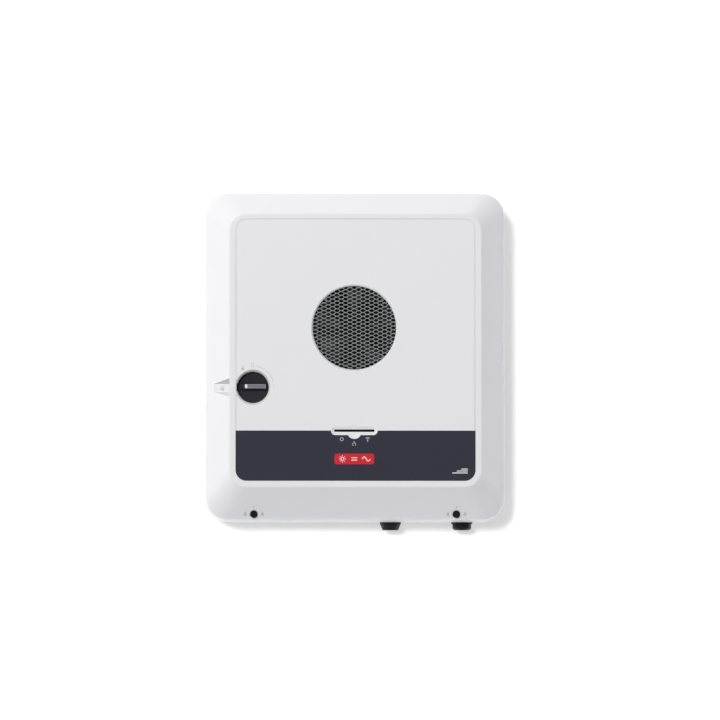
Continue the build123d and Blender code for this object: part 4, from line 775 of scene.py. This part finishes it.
# ---------------------------------------------------------------- printed marks on the dark label

# Back and front of a layer of ink, and of a second layer printed over the first.
INK = (FACE_Y + 0.05 * MM, FACE_Y - 0.04 * MM)
OVERPRINT = (FACE_Y, FACE_Y - 0.09 * MM)

ICON_Z = -132.2 * MM
ICON_LINE = 0.9 * MM
RING_X, RADIO_X = STATUS_X - 19.7 * MM, STATUS_X + 20.9 * MM
RING_RADIUS = 2.5 * MM
HAND_X, HAND_Z = STATUS_X - 0.4 * MM, ICON_Z - 6.0 * MM
# The finger and the thumb as lines of (x, z) in millimetres from the middle of the hand.
FINGER = [(-0.8, 2.6), (0.6, 1.0), (2.7, -1.2), (2.1, -4.2)]
THUMB = [(0.2, 0.6), (-2.6, -1.4), (-1.2, -4.2)]


def build_icons(bm):
    # A ring, for the running state.
    band(bm, loop(RING_X, ICON_Z, RING_RADIUS, 24), ICON_LINE, *INK, closed=True)
    # A pointing finger under the finger dish.
    for stroke in (FINGER, THUMB):
        band(bm, [(HAND_X + x * MM, HAND_Z + z * MM) for x, z in stroke], ICON_LINE, *INK)
    # Radio arcs over a short mast.
    for radius in (3.0 * MM, 4.6 * MM):
        waves = arc(RADIO_X, ICON_Z - 1.8 * MM, radius, 45, 135, 10)
        band(bm, waves, ICON_LINE * 0.8, *INK)
    mast = rounded_box(RADIO_X, ICON_Z - 2.2 * MM, 1.5 * MM, 3.2 * MM, 0.5 * MM)
    prism(bm, mast, *INK)


piece("label_icons", build_icons, "cover", pale_ink)


BADGE_X, BADGE_Z = STATUS_X, -163.2 * MM
BADGE_WIDTH, BADGE_HEIGHT, BADGE_CORNER = 62.0 * MM, 16.5 * MM, 3.0 * MM
SUN_X, SUN_RADIUS = BADGE_X - 18.5 * MM, 2.4 * MM
RAYS, RAY_START, RAY_END = 8, 4.0 * MM, 5.6 * MM
BAR_LIFT, BAR_LENGTH, BAR_THICK = 1.8 * MM, 9.0 * MM, 1.2 * MM
WAVE_X, WAVE_LENGTH, WAVE_HEIGHT, WAVE_STEPS = BADGE_X + 12.5 * MM, 12.5 * MM, 3.4 * MM, 24


def build_badge(bm):
    prism(bm, rounded_box(BADGE_X, BADGE_Z, BADGE_WIDTH, BADGE_HEIGHT, BADGE_CORNER, 8), *INK)


def build_badge_mark(bm):
    """A sun, then direct current bars, then an alternating wave."""
    band(bm, loop(SUN_X, BADGE_Z, SUN_RADIUS, 24), 1.0 * MM, *OVERPRINT, closed=True)
    for k in range(RAYS):
        ray = [at_angle(SUN_X, BADGE_Z, reach, 360 / RAYS * k) for reach in (RAY_START, RAY_END)]
        band(bm, ray, 0.9 * MM, *OVERPRINT)
    for lift in (-BAR_LIFT, BAR_LIFT):
        bar = rounded_box(BADGE_X, BADGE_Z + lift, BAR_LENGTH, BAR_THICK, 0.4 * MM)
        prism(bm, bar, *OVERPRINT)
    shares = [k / WAVE_STEPS for k in range(WAVE_STEPS + 1)]
    wave = [
        (WAVE_X + WAVE_LENGTH * share, BADGE_Z + WAVE_HEIGHT * math.sin(2 * math.pi * share))
        for share in shares
    ]
    band(bm, wave, 1.2 * MM, *OVERPRINT)


piece("label_badge", build_badge, "cover", red_ink)
piece("label_badge_mark", build_badge_mark, "cover", white_ink)


STAIR_RIGHT, STAIR_TOP, STAIR_STEP = 175.5 * MM, -179.0 * MM, 3.0 * MM
STAIR_LENGTHS = (10.0 * MM, 17.0 * MM, 24.0 * MM)


def build_corner_mark(bm):
    """A small plain mark at the label's right: three bars of growing length."""
    for k, length in enumerate(STAIR_LENGTHS):
        middle = STAIR_RIGHT - length / 2
        bar = rounded_box(middle, STAIR_TOP - STAIR_STEP * k, length, 1.3 * MM, 0.5 * MM)
        prism(bm, bar, *INK)


piece("label_corner_mark", build_corner_mark, "cover", white_ink)


# ---------------------------------------------------------------- camera, light, backdrop


AZIMUTH = math.radians(-1.0)
ELEVATION = math.radians(-2.7)
DISTANCE = 12.0
SENSOR = 36.0
VIEW_WIDTH = 1.132
AIM = Vector((0.0077, -0.12, -0.0060))
towards_camera = Vector(
    (
        math.sin(AZIMUTH) * math.cos(ELEVATION),
        -math.cos(AZIMUTH) * math.cos(ELEVATION),
        math.sin(ELEVATION),
    )
)

camera_data = bpy.data.cameras.new("camera")
camera = put(bpy.data.objects.new("camera", camera_data))
camera.location = AIM + towards_camera * DISTANCE
camera.rotation_euler = (-towards_camera).to_track_quat("-Z", "Y").to_euler()
camera_data.sensor_width = SENSOR
camera_data.lens = SENSOR * DISTANCE / VIEW_WIDTH
camera_data.clip_end = 100.0
bpy.context.scene.camera = camera


def backdrop_material(name, tone_low, tone_high, glow):
    """Plain and pale, and seen from its front only, so that it never hides the object's back."""
    n = Nodes(name)
    n.uniform(Roughness=0.9, Specular_IOR_Level=0.0)
    n.uniform(Emission_Color=(1.0, 1.0, 1.0, 1.0), Emission_Strength=glow)
    tone = n.mix(n.spread(n.noise(3.0), 0.0, 1.0), (tone_low,) * 3, (tone_high,) * 3)
    n.link(tone, n.shader.inputs["Base Color"])
    clear = n.add("ShaderNodeBsdfTransparent")
    geometry = n.add("ShaderNodeNewGeometry")
    choose = n.add("ShaderNodeMixShader")
    n.link(geometry.outputs["Backfacing"], choose.inputs[0])
    n.link(n.shader.outputs[0], choose.inputs[1])
    n.link(clear.outputs[0], choose.inputs[2])
    output = n.tree.nodes["Material Output"]
    n.link(choose.outputs[0], output.inputs["Surface"])
    return n.material


WALL_Y, WALL_TOP = 0.0005, 4.0
FLOOR_Z, FLOOR_END = -1.5, -13.0
BACKDROP_HALF_WIDTH = 8.0
BEND, BEND_STEPS = 0.5, 12


def build_backdrop():
    """A wall that curves into a floor and runs out towards the camera."""
    profile = [(WALL_Y, WALL_TOP), (WALL_Y, FLOOR_Z + BEND)]
    for k in range(1, BEND_STEPS + 1):
        turn = math.radians(90 * k / BEND_STEPS)
        inward, down = BEND * (1 - math.cos(turn)), BEND * (1 - math.sin(turn))
        profile.append((WALL_Y - inward, FLOOR_Z + down))
    profile.append((FLOOR_END, FLOOR_Z))
    data = bpy.data.meshes.new("backdrop")
    bm = bmesh.new()
    sides = (-BACKDROP_HALF_WIDTH, BACKDROP_HALF_WIDTH)
    left, right = ([bm.verts.new((x, y, z)) for y, z in profile] for x in sides)
    for k in range(len(profile) - 1):
        face = bm.faces.new((left[k + 1], right[k + 1], right[k], left[k]))
        face.material_index = 0 if k == 0 else 1
        face.smooth = True
    bm.to_mesh(data)
    bm.free()
    made = put(bpy.data.objects.new("backdrop", data))
    data.materials.append(backdrop_material("backdrop_wall", 0.93, 0.95, 0.42))
    data.materials.append(backdrop_material("backdrop_floor", 0.39, 0.41, 0.0))


build_backdrop()


def sun_light(name, towards_light, strength, softness, shadow=True):
    """A distant soft light without a glint.

    strength is what it adds to a white surface that faces it; softness is in degrees.
    """
    data = bpy.data.lights.new(name, "SUN")
    data.energy = strength * math.pi
    data.angle = math.radians(softness)
    data.use_shadow = shadow
    made = put(bpy.data.objects.new(name, data))
    made.rotation_euler = Vector(towards_light).to_track_quat("Z", "Y").to_euler()
    made.visible_glossy = False


sun_light("key", (-0.215, -1.0, 0.155), 0.8, 11)
sun_light("left_wash", (-1.0, -0.1, 0.0), 0.115, 30, shadow=False)

# A soft lamp up to the left, which makes the face a little brighter at that corner.
lamp_data = bpy.data.lights.new("corner_lamp", "AREA")
lamp_data.energy = 3.6
lamp_data.size = 0.5
lamp_data.use_shadow = False
lamp = put(bpy.data.objects.new("corner_lamp", lamp_data))
lamp.location = (-0.6, -1.1, 1.2)
lamp.rotation_euler = Vector(lamp.location).to_track_quat("Z", "Y").to_euler()

world = bpy.data.worlds.new("studio")
world.use_nodes = True
air = world.node_tree.nodes["Background"]
air.inputs["Color"].default_value = (1.0, 1.0, 1.0, 1.0)
air.inputs["Strength"].default_value = 0.17
bpy.context.scene.world = world
bpy.context.scene.view_settings.view_transform = "Standard"
